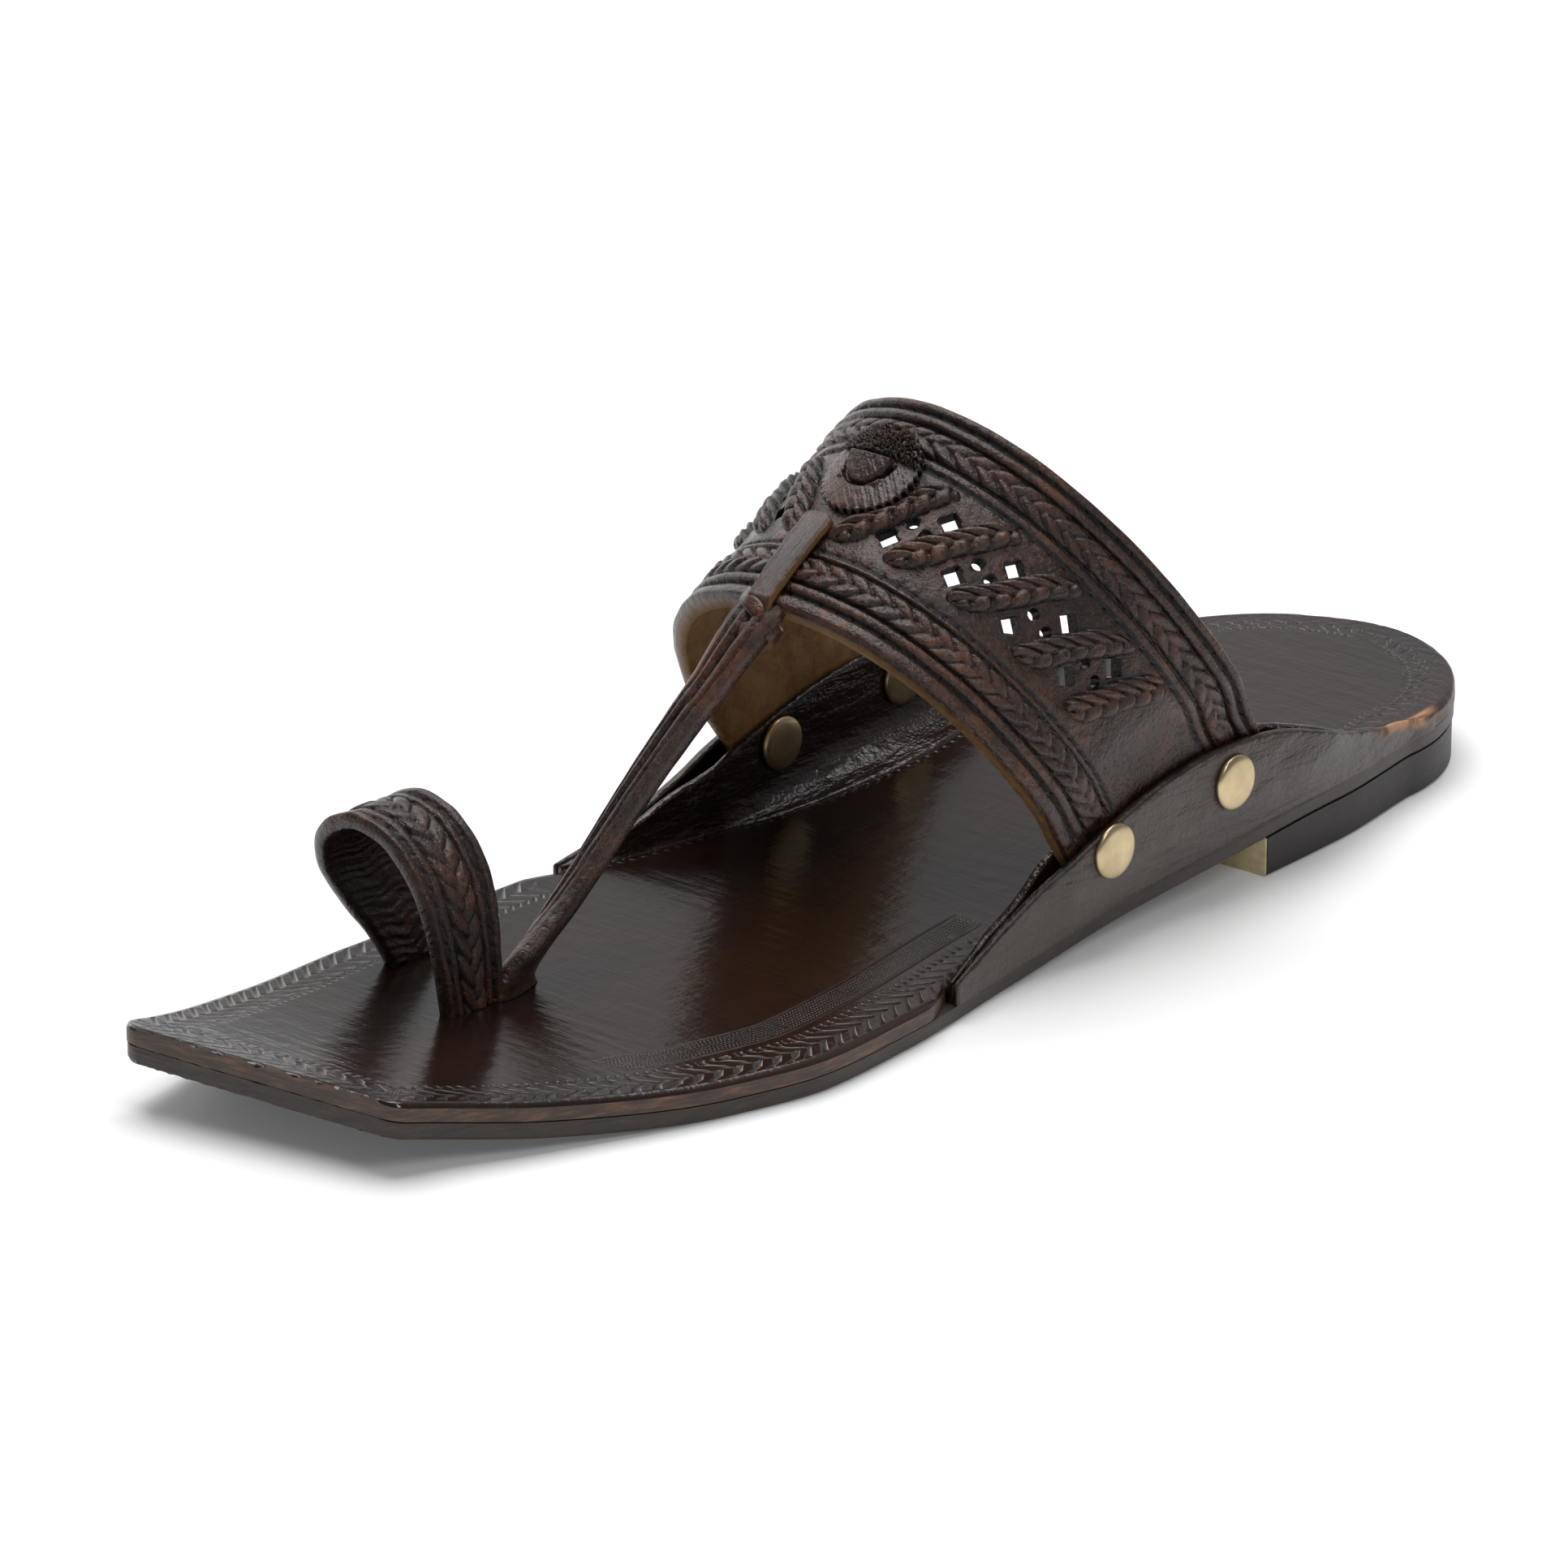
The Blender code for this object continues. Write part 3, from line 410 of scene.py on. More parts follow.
def band_normal(degrees, share, drop=0.0):
    step = 0.8
    if drop > 0.0:
        around = Vector((0.0, 0.0, -1.0)) if degrees > 0 else Vector((0.0, 0.0, 1.0))
    else:
        low = clamp(degrees - step, -90.0, 90.0)
        high = clamp(degrees + step, -90.0, 90.0)
        around = band_middle(high, share) - band_middle(low, share)
    across = band_middle(degrees, 1.0, drop) - band_middle(degrees, 0.0, drop)
    normal = across.cross(around)
    normal.normalize()
    if normal.x * degrees < 0.0 or (abs(degrees) < 1.0 and normal.z < 0.0):
        normal = -normal
    return normal


def band_point(degrees, share, raised, drop=0.0):
    point = band_middle(degrees, share, drop) + band_normal(degrees, share, drop) * raised
    return place(point.x, point.y, point.z)


def panel_degrees(side, degrees):
    """Angle on either side; the medial half starts past the strap, which lies off the crown."""
    if side > 0.0:
        return degrees
    return -(degrees + PANEL_SKEW * (1.0 - degrees / PANEL_SKEW_END))


def wobble(value, seed):
    """Slow uneven wave from -1 to 1."""
    return 0.6 * math.sin(value * 1.31 + seed) + 0.4 * math.sin(value * 2.87 + seed * 1.7)


def plait(along, across, lean=0.42):
    """Height from zero to one of a two strand plait; along in pitches, across from -1 to 1."""
    best = 0.0
    for side in (-1.0, 1.0):
        offset = 0.0 if side < 0 else 0.5
        v = (across - side * 0.47) / 0.60
        if abs(v) >= 1.0:
            continue
        u = along - offset + side * v * lean
        number = math.floor(u)
        u = (u - number - 0.5) / 0.50
        slope = 0.80 + 0.20 * u - 0.12 * side * v
        rest = 1.0 - abs(v) ** 2.6 - abs(u) ** 2.8
        if rest > 0.0:
            lift = rest ** 0.42 * slope * (1.0 + 0.10 * wobble(number, side * 3.0))
            best = max(best, lift)
    return min(1.0, best)


def mesh_object(name, verts, faces, materials, cover=None, shade=True):
    mesh = bpy.data.meshes.new(name)
    mesh.from_pydata([tuple(v) for v in verts], [], faces)
    for material in materials:
        mesh.materials.append(material)
    mesh.polygons.foreach_set("use_smooth", [shade] * len(mesh.polygons))
    if cover:
        for key, values in cover.items():
            layer = mesh.attributes.new(key, "FLOAT", "POINT")
            layer.data.foreach_set("value", values)
    mesh.update()
    body = bpy.data.objects.new(name, mesh)
    bpy.context.scene.collection.objects.link(body)
    return body


def grid_faces(columns, rows, start=0, flip=False):
    faces = []
    for i in range(columns - 1):
        for j in range(rows - 1):
            a = start + i * rows + j
            face = (a, a + rows, a + rows + 1, a + 1)
            faces.append(face[::-1] if flip else face)
    return faces


def shell_faces(columns, rows, base, low_rows):
    """Faces of a closed strip: outer grid, inner grid from base on, both long edges and both ends."""
    faces = grid_faces(columns, rows) + grid_faces(columns, low_rows, base, True)
    for i in range(columns - 1):
        a, b = i * rows, (i + 1) * rows
        c, d = base + i * low_rows, base + (i + 1) * low_rows
        faces.append((a, b, d, c))
        faces.append((a + rows - 1, c + low_rows - 1, d + low_rows - 1, b + rows - 1))
    for i in (0, columns - 1):
        loop = [i * rows + j for j in range(rows)]
        loop += [base + i * low_rows + j for j in range(low_rows - 1, -1, -1)]
        faces.append(tuple(loop))
    return faces


def fix_normals(body):
    work = bmesh.new()
    work.from_mesh(body.data)
    bmesh.ops.recalc_face_normals(work, faces=work.faces)
    work.to_mesh(body.data)
    work.free()


def tube(name, rings, material, cover=None):
    """Closed dense solid through rings, an end fan at each end; cover lists a value per ring point."""
    verts = []
    for ring in rings:
        verts.extend(ring)
    size = len(rings[0])
    faces = []
    for i in range(len(rings) - 1):
        for j in range(size):
            k = (j + 1) % size
            faces.append((i * size + j, i * size + k, (i + 1) * size + k, (i + 1) * size + j))
    values = None
    if cover:
        values = {key: list(data) for key, data in cover.items()}
    for number in (0, len(rings) - 1):
        middle = len(verts)
        centre = Vector((0.0, 0.0, 0.0))
        for point in rings[number]:
            centre += point
        verts.append(centre / size)
        if values:
            for key in values:
                values[key].append(values[key][number * size])
        for j in range(size):
            faces.append((number * size + j, number * size + (j + 1) % size, middle))
    body = mesh_object(name, verts, faces, [material], values)
    fix_normals(body)
    return body


# Materials

class Graph:
    """Short helpers to build one material's nodes."""

    def __init__(self, name):
        self.material = bpy.data.materials.new(name)
        self.material.use_nodes = True
        self.tree = self.material.node_tree
        self.shader = self.tree.nodes["Principled BSDF"]

    def node(self, kind, **inputs):
        item = self.tree.nodes.new(kind)
        for key, value in inputs.items():
            self.feed(item, key, value)
        return item

    def feed(self, item, key, value):
        socket = item.inputs[int(key[1:])] if key[0] == "_" else item.inputs[key]
        if isinstance(value, bpy.types.NodeSocket):
            self.tree.links.new(value, socket)
        else:
            socket.default_value = value

    def math(self, operation, first, second=0.0, third=0.0):
        item = self.tree.nodes.new("ShaderNodeMath")
        item.operation = operation
        for number, value in enumerate((first, second, third)):
            self.feed(item, "_%d" % number, value)
        return item.outputs[0]

    def add(self, first, second):
        return self.math("ADD", first, second)

    def sub(self, first, second):
        return self.math("SUBTRACT", first, second)

    def mul(self, first, second):
        return self.math("MULTIPLY", first, second)

    def most(self, first, second):
        return self.math("MAXIMUM", first, second)

    def window(self, value, centre, half):
        share = self.math("DIVIDE", self.math("SUBTRACT", value, centre), half)
        return self.math("MAXIMUM", self.math("SUBTRACT", 1.0, self.math("MULTIPLY", share, share)), 0.0)

    def coordinates(self):
        return self.tree.nodes.new("ShaderNodeTexCoord").outputs["Object"]

    def attribute(self, name):
        item = self.tree.nodes.new("ShaderNodeAttribute")
        item.attribute_name = name
        return item.outputs["Fac"]

    def vector(self, first, second, third=0.0):
        item = self.tree.nodes.new("ShaderNodeCombineXYZ")
        for number, value in enumerate((first, second, third)):
            self.feed(item, "_%d" % number, value)
        return item.outputs[0]

    def noise(self, vector, scale, detail=4.0, roughness=0.55):
        item = self.node("ShaderNodeTexNoise", Vector=vector, Scale=scale, Detail=detail)
        item.inputs["Roughness"].default_value = roughness
        return item.outputs["Fac"]

    def cells(self, vector, scale, feature="F1", output="Distance"):
        item = self.tree.nodes.new("ShaderNodeTexVoronoi")
        item.feature = feature
        self.feed(item, "Vector", vector)
        self.feed(item, "Scale", scale)
        return item.outputs[output]

    def stretch(self, vector, scale):
        item = self.tree.nodes.new("ShaderNodeMapping")
        self.feed(item, "Vector", vector)
        item.inputs["Scale"].default_value = scale
        return item.outputs["Vector"]

    def ramp(self, value, stops):
        item = self.tree.nodes.new("ShaderNodeValToRGB")
        elements = item.color_ramp.elements
        while len(elements) < len(stops):
            elements.new(0.5)
        for element, (position, colour) in zip(elements, stops):
            element.position = position
            if isinstance(colour, (int, float)):
                colour = (colour, colour, colour)
            element.color = tuple(colour) + (1.0,)
        self.feed(item, "Fac", value)
        return item.outputs["Color"]

    def blend(self, share, first, second, mode="MIX"):
        item = self.tree.nodes.new("ShaderNodeMix")
        item.data_type = "RGBA"
        item.blend_type = mode
        self.feed(item, "_0", share)
        for number, value in ((6, first), (7, second)):
            if isinstance(value, tuple):
                value = value + (1.0,)
            self.feed(item, "_%d" % number, value)
        return item.outputs[2]

    def relief(self, height, strength, distance, before=None):
        item = self.node("ShaderNodeBump", Height=height, Strength=strength, Distance=distance)
        if before is not None:
            self.feed(item, "Normal", before)
        return item.outputs["Normal"]

    def finish(self, colour, roughness, normal=None, metallic=0.0, coat=0.0, specular=0.5):
        self.feed(self.shader, "Base Color", colour if not isinstance(colour, tuple) else colour + (1.0,))
        self.feed(self.shader, "Roughness", roughness)
        self.feed(self.shader, "Metallic", metallic)
        self.feed(self.shader, "Coat Weight", coat)
        self.shader.inputs["Coat Roughness"].default_value = 0.25
        self.feed(self.shader, "Specular IOR Level", specular)
        if normal is not None:
            self.feed(self.shader, "Normal", normal)
        return self.material


def footbed_material():
    g = Graph("footbed_polish")
    where = g.coordinates()
    edge = g.attribute("outline_mm")
    along = g.attribute("along_mm")
    border = g.attribute("border")
    grain = g.noise(g.stretch(where, (1.0, 0.45, 1.0)), 330.0, 5.0, 0.6)
    wrinkle = g.noise(g.stretch(where, (0.30, 1.5, 1.0)), 240.0, 4.0, 0.6)
    patches = g.noise(g.stretch(where, (1.0, 0.5, 1.0)), 30.0, 4.0)
    colour = g.ramp(patches, ((0.32, (0.006, 0.0026, 0.0018)), (0.70, (0.020, 0.0068, 0.0040))))
    # two rows of leaf stamps that lean against each other, and a row of small dots inside them
    turn = 2.0 * math.pi
    first = g.math("SINE", g.mul(g.add(along, edge), turn / 3.7))
    second = g.math("SINE", g.mul(g.sub(along, edge), turn / 3.7))
    leaf = g.mul(g.math("POWER", g.most(first, 0.0), 0.5), g.window(edge, 2.9, 1.9))
    other = g.mul(g.math("POWER", g.most(second, 0.0), 0.5), g.window(edge, 6.0, 1.9))
    dots = g.most(g.math("SINE", g.mul(along, turn / 1.85)), 0.0)
    dots = g.mul(dots, g.window(edge, 8.7, 0.8))
    leaf = g.mul(leaf, g.sub(1.0, g.mul(g.attribute("heel_end"), 0.8)))
    stamped = g.most(g.most(leaf, other), dots)
    stamped = g.mul(stamped, border)
    # fine crossed wheel marks between two lines
    cross = g.math("SINE", g.mul(g.add(along, edge), turn / 1.5))
    mark = g.math("SINE", g.mul(g.sub(along, edge), turn / 1.5))
    band = g.math("MINIMUM", g.mul(g.window(edge, 14.2, 2.4), 3.0), 1.0)
    wheel = g.mul(g.most(g.mul(cross, mark), 0.0), band)
    lines = g.most(g.window(edge, 17.2, 0.35), g.window(edge, 11.2, 0.35))
    wheel = g.most(wheel, g.mul(lines, 0.7))
    wheel = g.mul(wheel, g.attribute("wheel"))
    # short stitches along the foot of the far ear
    seam = g.math("SINE", g.mul(along, turn / 2.3))
    seam = g.mul(g.most(seam, 0.0), g.window(g.attribute("edge_mm"), 1.5, 0.8))
    seam = g.mul(seam, g.attribute("seam"))
    tooled = g.most(g.most(stamped, wheel), seam)
    colour = g.blend(g.mul(tooled, 0.6), colour, (0.006, 0.003, 0.003))
    # scratches and the raw side
    side = g.attribute("side_face")
    fibre = g.noise(g.stretch(where, (0.5, 0.5, 4.0)), 300.0, 5.0, 0.65)
    raw = g.ramp(fibre, ((0.30, (0.018, 0.011, 0.008)), (0.52, (0.060, 0.032, 0.020)),
                         (0.76, (0.20, 0.085, 0.040))))
    colour = g.blend(side, colour, raw)
    wear = g.ramp(g.noise(g.stretch(where, (1.0, 0.4, 1.0)), 170.0, 4.0), ((0.40, 0.0), (0.52, 1.0)))
    wear = g.mul(g.attribute("worn"), wear)
    colour = g.blend(wear, colour, (0.46, 0.22, 0.11))
    normal = g.relief(wrinkle, 0.30, 0.0006)
    normal = g.relief(grain, 0.16, 0.0006, normal)
    normal = g.relief(g.sub(1.0, tooled), 0.65, 0.0005, normal)
    rough = g.add(g.mul(grain, 0.14), 0.10)
    rough = g.add(rough, g.mul(side, 0.40))
    rough = g.add(rough, g.mul(g.most(wear, tooled), 0.25))
    return g.finish(colour, rough, normal, coat=0.15)


def sole_material(name, dark, light, worn, rough):
    g = Graph(name)
    where = g.coordinates()
    layers = g.noise(g.stretch(where, (1.0, 1.0, 6.0)), 180.0, 5.0)
    colour = g.ramp(layers, ((0.30, dark), (0.66, light), (0.86, worn)))
    fine = g.noise(where, 900.0, 3.0)
    normal = g.relief(layers, 0.35, 0.0006)
    normal = g.relief(fine, 0.15, 0.0003, normal)
    return g.finish(colour, g.add(g.mul(layers, 0.2), rough), normal)


def breast_material():
    g = Graph("heel_breast")
    where = g.coordinates()
    fine = g.noise(where, 500.0, 4.0)
    colour = g.ramp(fine, ((0.3, (0.60, 0.48, 0.25)), (0.7, (0.85, 0.72, 0.44))))
    return g.finish(colour, 0.8, g.relief(fine, 0.3, 0.0004))


def ear_material():
    g = Graph("ear_satin")
    where = g.coordinates()
    pores = g.cells(where, 1400.0)
    folds = g.noise(where, 190.0, 6.0, 0.62)
    long_folds = g.noise(g.stretch(where, (1.0, 0.35, 1.6)), 120.0, 4.0, 0.6)
    patches = g.noise(g.stretch(where, (1.0, 0.4, 1.0)), 45.0, 4.0)
    inside = g.attribute("inside")
    colour = g.ramp(patches, ((0.30, (0.026, 0.018, 0.015)), (0.72, (0.062, 0.044, 0.036))))
    dark = g.ramp(patches, ((0.3, (0.007, 0.004, 0.0035)), (0.7, (0.024, 0.009, 0.006))))
    colour = g.blend(inside, colour, dark)
    raw = g.ramp(g.noise(where, 260.0, 4.0), ((0.40, (0.008, 0.006, 0.005)), (0.66, (0.045, 0.026, 0.017))))
    colour = g.blend(g.attribute("rim"), colour, raw)
    tan = g.ramp(g.noise(where, 210.0, 4.0), ((0.36, (0.10, 0.055, 0.035)), (0.55, (0.45, 0.24, 0.13))))
    colour = g.blend(g.attribute("worn"), colour, tan)
    normal = g.relief(folds, 0.55, 0.0009)
    normal = g.relief(long_folds, 0.75, 0.0016, normal)
    normal = g.relief(pores, 0.22, 0.0003, normal)
    rough = g.add(g.mul(folds, 0.24), 0.24)
    rough = g.sub(rough, g.mul(inside, 0.16))
    rough = g.add(rough, g.mul(g.attribute("worn"), 0.35))
    return g.finish(colour, rough, normal)


def upper_material(name="upper_grain", relief=1.0, rough_base=0.11):
    g = Graph(name)
    where = g.coordinates()
    pores = g.cells(where, 1150.0)
    grain = g.noise(where, 640.0, 5.0, 0.65)
    fibre = g.noise(where, 1500.0, 3.0, 0.6)
    patches = g.noise(where, 75.0, 4.0)
    painted_light_share = g.attribute("painted_light_share")
    mixed = g.add(g.mul(grain, 0.40), g.mul(patches, 0.60))
    colour = g.ramp(mixed, ((0.34, (0.010, 0.0050, 0.0038)), (0.50, (0.034, 0.0125, 0.0070)),
                            (0.66, (0.115, 0.038, 0.0165))))
    specks = g.ramp(pores, ((0.10, 1.0), (0.26, 0.0)))
    colour = g.blend(g.mul(specks, 0.55), colour, (0.006, 0.003, 0.003))
    # painted shade: the colour goes towards near black where the painted light share is low, in grooves,
    # between plait lobes, at stitch holes, on undersides and under edges
    colour = g.blend(g.sub(1.0, painted_light_share), colour, (0.0035, 0.0022, 0.0020))
    lining = g.attribute("lining")
    nap = g.noise(where, 420.0, 6.0, 0.7)
    cloud = g.noise(where, 60.0, 3.0)
    suede = g.ramp(g.add(g.mul(nap, 0.5), g.mul(cloud, 0.5)),
                   ((0.32, (0.13, 0.060, 0.018)), (0.66, (0.40, 0.215, 0.078))))
    colour = g.blend(lining, colour, suede)
    thread = g.attribute("thread")
    colour = g.blend(thread, colour, (0.004, 0.004, 0.005))
    streak = g.noise(g.vector(g.mul(g.attribute("across_mm"), 1.4),
                              g.mul(g.attribute("length_mm"), 0.16)), 1.6, 5.0, 0.65)
    normal = g.relief(g.sub(1.0, specks), 0.45 * relief, 0.0003)
    normal = g.relief(grain, 0.75 * relief, 0.0006, normal)
    normal = g.relief(fibre, 0.35 * relief, 0.0002, normal)
    normal = g.relief(streak, 0.9, 0.0006, normal)
    rough = g.add(g.mul(grain, 0.20), rough_base)
    rough = g.add(rough, g.mul(g.most(lining, thread), 0.50))
    return g.finish(colour, rough, normal, specular=0.5)


def brass_material():
    g = Graph("brass_satin")
    where = g.coordinates()
    fine = g.noise(where, 900.0, 4.0)
    patches = g.noise(where, 220.0, 3.0)
    colour = g.ramp(patches, ((0.3, (0.50, 0.39, 0.23)), (0.7, (0.66, 0.54, 0.34))))
    normal = g.relief(fine, 0.06, 0.0003)
    return g.finish(colour, g.add(g.mul(fine, 0.14), 0.26), normal, metallic=1.0)


def floor_material():
    g = Graph("floor_paper")
    where = g.coordinates()
    fine = g.noise(where, 40.0, 2.0)
    colour = g.ramp(fine, ((0.2, (0.90, 0.90, 0.90)), (0.8, (0.92, 0.92, 0.92))))
    g.feed(g.shader, "Emission Color", (1.0, 1.0, 1.0, 1.0))
    g.feed(g.shader, "Emission Strength", 0.08)
    return g.finish(colour, 0.9, specular=0.0)


# Pieces

def border_ring(left, right, last):
    """Points round a layer from its two sides, and the length run along them."""
    outline = left[::-1] + right
    if last >= SOLE_LENGTH:
        (x0, s0), (x1, s1) = right[-1], left[-1]
        for i in range(1, 40):
            outline.append((x0 + (x1 - x0) * i / 40.0, s0 + (s1 - s0) * i / 40.0))
    ring = np.array(outline)
    run = np.concatenate([[0.0], np.cumsum(np.hypot(*np.diff(ring, axis=0).T))])
    return ring, run


def nearest(flat, ring):
    """Distance to the nearest ring point and its number, for every flat point."""
    edge = np.empty(len(flat))
    number = np.empty(len(flat), dtype=int)
    for start in range(0, len(flat), 2000):
        part = flat[start:start + 2000]
        gap = np.hypot(part[:, None, 0] - ring[None, :, 0], part[:, None, 1] - ring[None, :, 1])
        best = gap.argmin(axis=1)
        edge[start:start + 2000] = gap[np.arange(len(part)), best]
        number[start:start + 2000] = best
    return edge, number


def sole_layer(name, low, high, inset, last, material, rounding, breast=None):
    """Layer of the sole with rounded edges; carries edge distance, length along the edge and more."""
    stations = []
    s = 0.12
    while s < min(last, SOLE_LENGTH):
        stations.append(s)
        if s < 4.0:
            s += 0.35
        elif s > SOLE_LENGTH - 6.0:
            s += 0.30
        else:
            s += 1.3
    stations.append(min(last, SOLE_LENGTH))
    shares = []
    count = 56
    for i in range(count + 1):
        t = -1.0 + 2.0 * i / count
        shares.append(math.copysign(1.0 - (1.0 - abs(t)) ** 1.25, t))
    outline_left, outline_right = [], []
    true_left, true_right = [], []
    for station in stations:
        medial, medial_station = edge_point(station, -1)
        lateral, lateral_station = edge_point(station, 1)
        if medial_station > last:
            medial_station = last
        true_left.append((medial, medial_station))
        true_right.append((lateral, lateral_station))
        medial += inset(station)
        lateral -= inset(station)
        outline_left.append((medial, medial_station))
        outline_right.append((lateral, lateral_station))
    ring, _ = border_ring(outline_left, outline_right, last)
    true_ring, run = border_ring(true_left, true_right, last)
    verts = []
    flat = []
    for k, station in enumerate(stations):
        x0, s0 = outline_left[k]
        x1, s1 = outline_right[k]
        for t in shares:
            mix = (t + 1.0) / 2.0
            flat.append((x0 + (x1 - x0) * mix, s0 + (s1 - s0) * mix))
    flat = np.array(flat)
    edge, _ = nearest(flat, ring)
    outline_gap, best = nearest(flat, true_ring)
    along = run[best]
    rows = len(shares)
    heights = []
    for (x, s), gap in zip(flat, edge):
        curl = 1.0 - math.sqrt(max(0.0, 1.0 - (1.0 - min(1.0, gap / 0.9)) ** 2))
        heights.append((high(s) - curl * rounding[0], low(s) + curl * rounding[1]))
    for (x, s), (up, down) in zip(flat, heights):
        verts.append(place(x, s, up))
    base = len(verts)
    for (x, s), (up, down) in zip(flat, heights):
        verts.append(place(x, s, down))
    columns = len(stations)
    faces = grid_faces(columns, rows) + grid_faces(columns, rows, base, True)
    border = [i * rows for i in range(columns)]
    border += [(columns - 1) * rows + j for j in range(1, rows)]
    border += [i * rows + rows - 1 for i in range(columns - 2, -1, -1)]
    border += [j for j in range(rows - 2, 0, -1)]
    walls = []
    for i in range(len(border)):
        a, b = border[i], border[(i + 1) % len(border)]
        walls.append((a, b, base + b, base + a))
    edge2 = list(edge) * 2
    outline2 = list(outline_gap) * 2
    along2 = list(along) * 2
    side_face = [0.0] * len(verts)
    worn = [0.0] * len(verts)
    # walls get their own vertices, so that the raw edge has its own colour
    copies = {}
    for i in border:
        for j in (i, base + i):
            copies[j] = len(verts)
            verts.append(verts[j])
            edge2.append(0.0)
            outline2.append(30.0)
            along2.append(along2[j])
            side_face.append(1.0)
            worn.append(0.0)
    wall_faces = [tuple(copies[j] for j in face) for face in walls]
    border, wheel, seam = [], [], []
    for i, v in enumerate(verts):
        s = SOLE_LENGTH / 2.0 - v[1] / MM
        x = v[0] / MM
        start = 146.0 if x > 0.0 else 178.0
        border.append(max(smooth(s, start, start + 8.0), 1.0 - smooth(s, 44.0, 50.0)))
        wheel.append(smooth(s, 142.0, 150.0) * (1.0 - smooth(s, 222.0, 232.0)) * smooth(x, 0.0, 4.0))
        seam.append(smooth(s, 60.0, 70.0) * (1.0 - smooth(s, 168.0, 176.0)) * (1.0 - smooth(x, -6.0, -2.0)))
        if x > 18.0 and edge2[i] < 1.8:
            worn[i] = smooth(s, 25.0, 31.0) * (1.0 - smooth(s, 46.0, 50.0))
    cover = {
        "edge_mm": edge2,
        "outline_mm": outline2,
        "along_mm": along2,
        "border": border,
        "wheel": wheel,
        "seam": seam,
        "heel_end": [1.0 - smooth(SOLE_LENGTH / 2.0 - v[1] / MM, 44.0, 60.0) for v in verts],
        "side_face": side_face,
        "worn": worn,
    }
    materials = [material] if breast is None else [material, breast]
    body = mesh_object(name, verts, faces + wall_faces, materials, cover)
    fix_normals(body)
    if breast is not None:
        for face in body.data.polygons:
            centre = face.center
            s = SOLE_LENGTH / 2.0 - centre.y / MM
            if s > last - 4.0 and abs(face.normal.y) > 0.7:
                face.material_index = 1
    return body


def make_soles(looks):
    def insole_low(s):
        return sole_bottom(s) + OUTSOLE_THICKNESS + 0.05

    def outsole_high(s):
        return sole_bottom(s) + OUTSOLE_THICKNESS

    insole = sole_layer("footbed", insole_low, footbed_top, insole_inset, SOLE_LENGTH,
                        looks["footbed"], (0.9, 0.1))
    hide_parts("insole")
    outsole = sole_layer("outsole_layer", sole_bottom, outsole_high, lambda s: 0.15, SOLE_LENGTH,
                         looks["outsole"], (0.12, 0.7))
    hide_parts("outsole")
    heel = sole_layer("heel_block", lambda s: 0.0, lambda s: sole_bottom(s) - 0.05,
                      lambda s: HEEL_BLOCK_INSET * smooth(s, 0.0, 6.0), HEEL_BLOCK_LENGTH,
                      looks["heel"], (0.1, 0.5), looks["breast"])
    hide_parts("heel")
    return [insole, outsole, heel]


def sewn_dash(along):
    """One on a stitch and zero in the gaps between stitches."""
    place_in_pitch = along / STITCH_PITCH
    off_middle = abs(place_in_pitch - math.floor(place_in_pitch) - 0.5) / 0.5
    return 1.0 - smooth(off_middle, 0.62, 0.80)


def band_height(along, share, fade):
    """Height above the wall, painted light share (painted shade from zero in grooves to one on ridge tops),
    and thread.
    """
    height = 0.0
    # painted shade: a little on the flat wall, none on ridge tops, more between plait lobes, in grooves and
    # between stitches
    painted_light_share = 0.80
    thread = 0.0
    for middle, half, rise in BAND_RIDGES:
        ridge = bump(share, middle, half)
        if ridge > 0.0:
            height = max(height, rise * ridge ** 0.45 * (1.0 + 0.07 * wobble(along * 0.35, middle * 50.0)))
            painted_light_share = max(painted_light_share, 0.80 + 0.2 * ridge)
    for low, high, way in BAND_BRAIDS:
        middle = (low + high) / 2.0
        across = (share - middle) / ((high - low) / 2.0)
        if abs(across) < 1.0:
            lift = plait(way * along / BRAID_PITCH + 40.0, across)
            height = max(height, BRAID_RISE * lift)
            painted_light_share = 0.05 + 0.95 * smooth(lift, 0.20, 0.70)
    for groove, depth in BAND_GROOVES:
        near = bump(share, groove, 0.011)
        if near > 0.0:
            height -= depth * near
            painted_light_share = min(painted_light_share, 1.0 - near)
    for row in BAND_STITCHES:
        near = bump(share, row, 0.013)
        if near > 0.0:
            dash = sewn_dash(along)
            height += near * (0.30 * dash - 0.45)
            painted_light_share = min(painted_light_share, 1.0 - 0.55 * near)
            thread = max(thread, dash * smooth(near, 0.15, 0.6))
            painted_light_share = min(painted_light_share, 1.0 - near * (1.0 - dash))
    return height * fade, painted_light_share, thread * smooth(fade, 0.3, 0.6)


def band_rows():
    rows = []
    for low, high, count in ((0.0, 0.29, 62), (0.29, 0.72, 16), (0.72, 1.0, 61)):
        rows += [low + (high - low) * i / count for i in range(count)]
    return rows + [1.0]


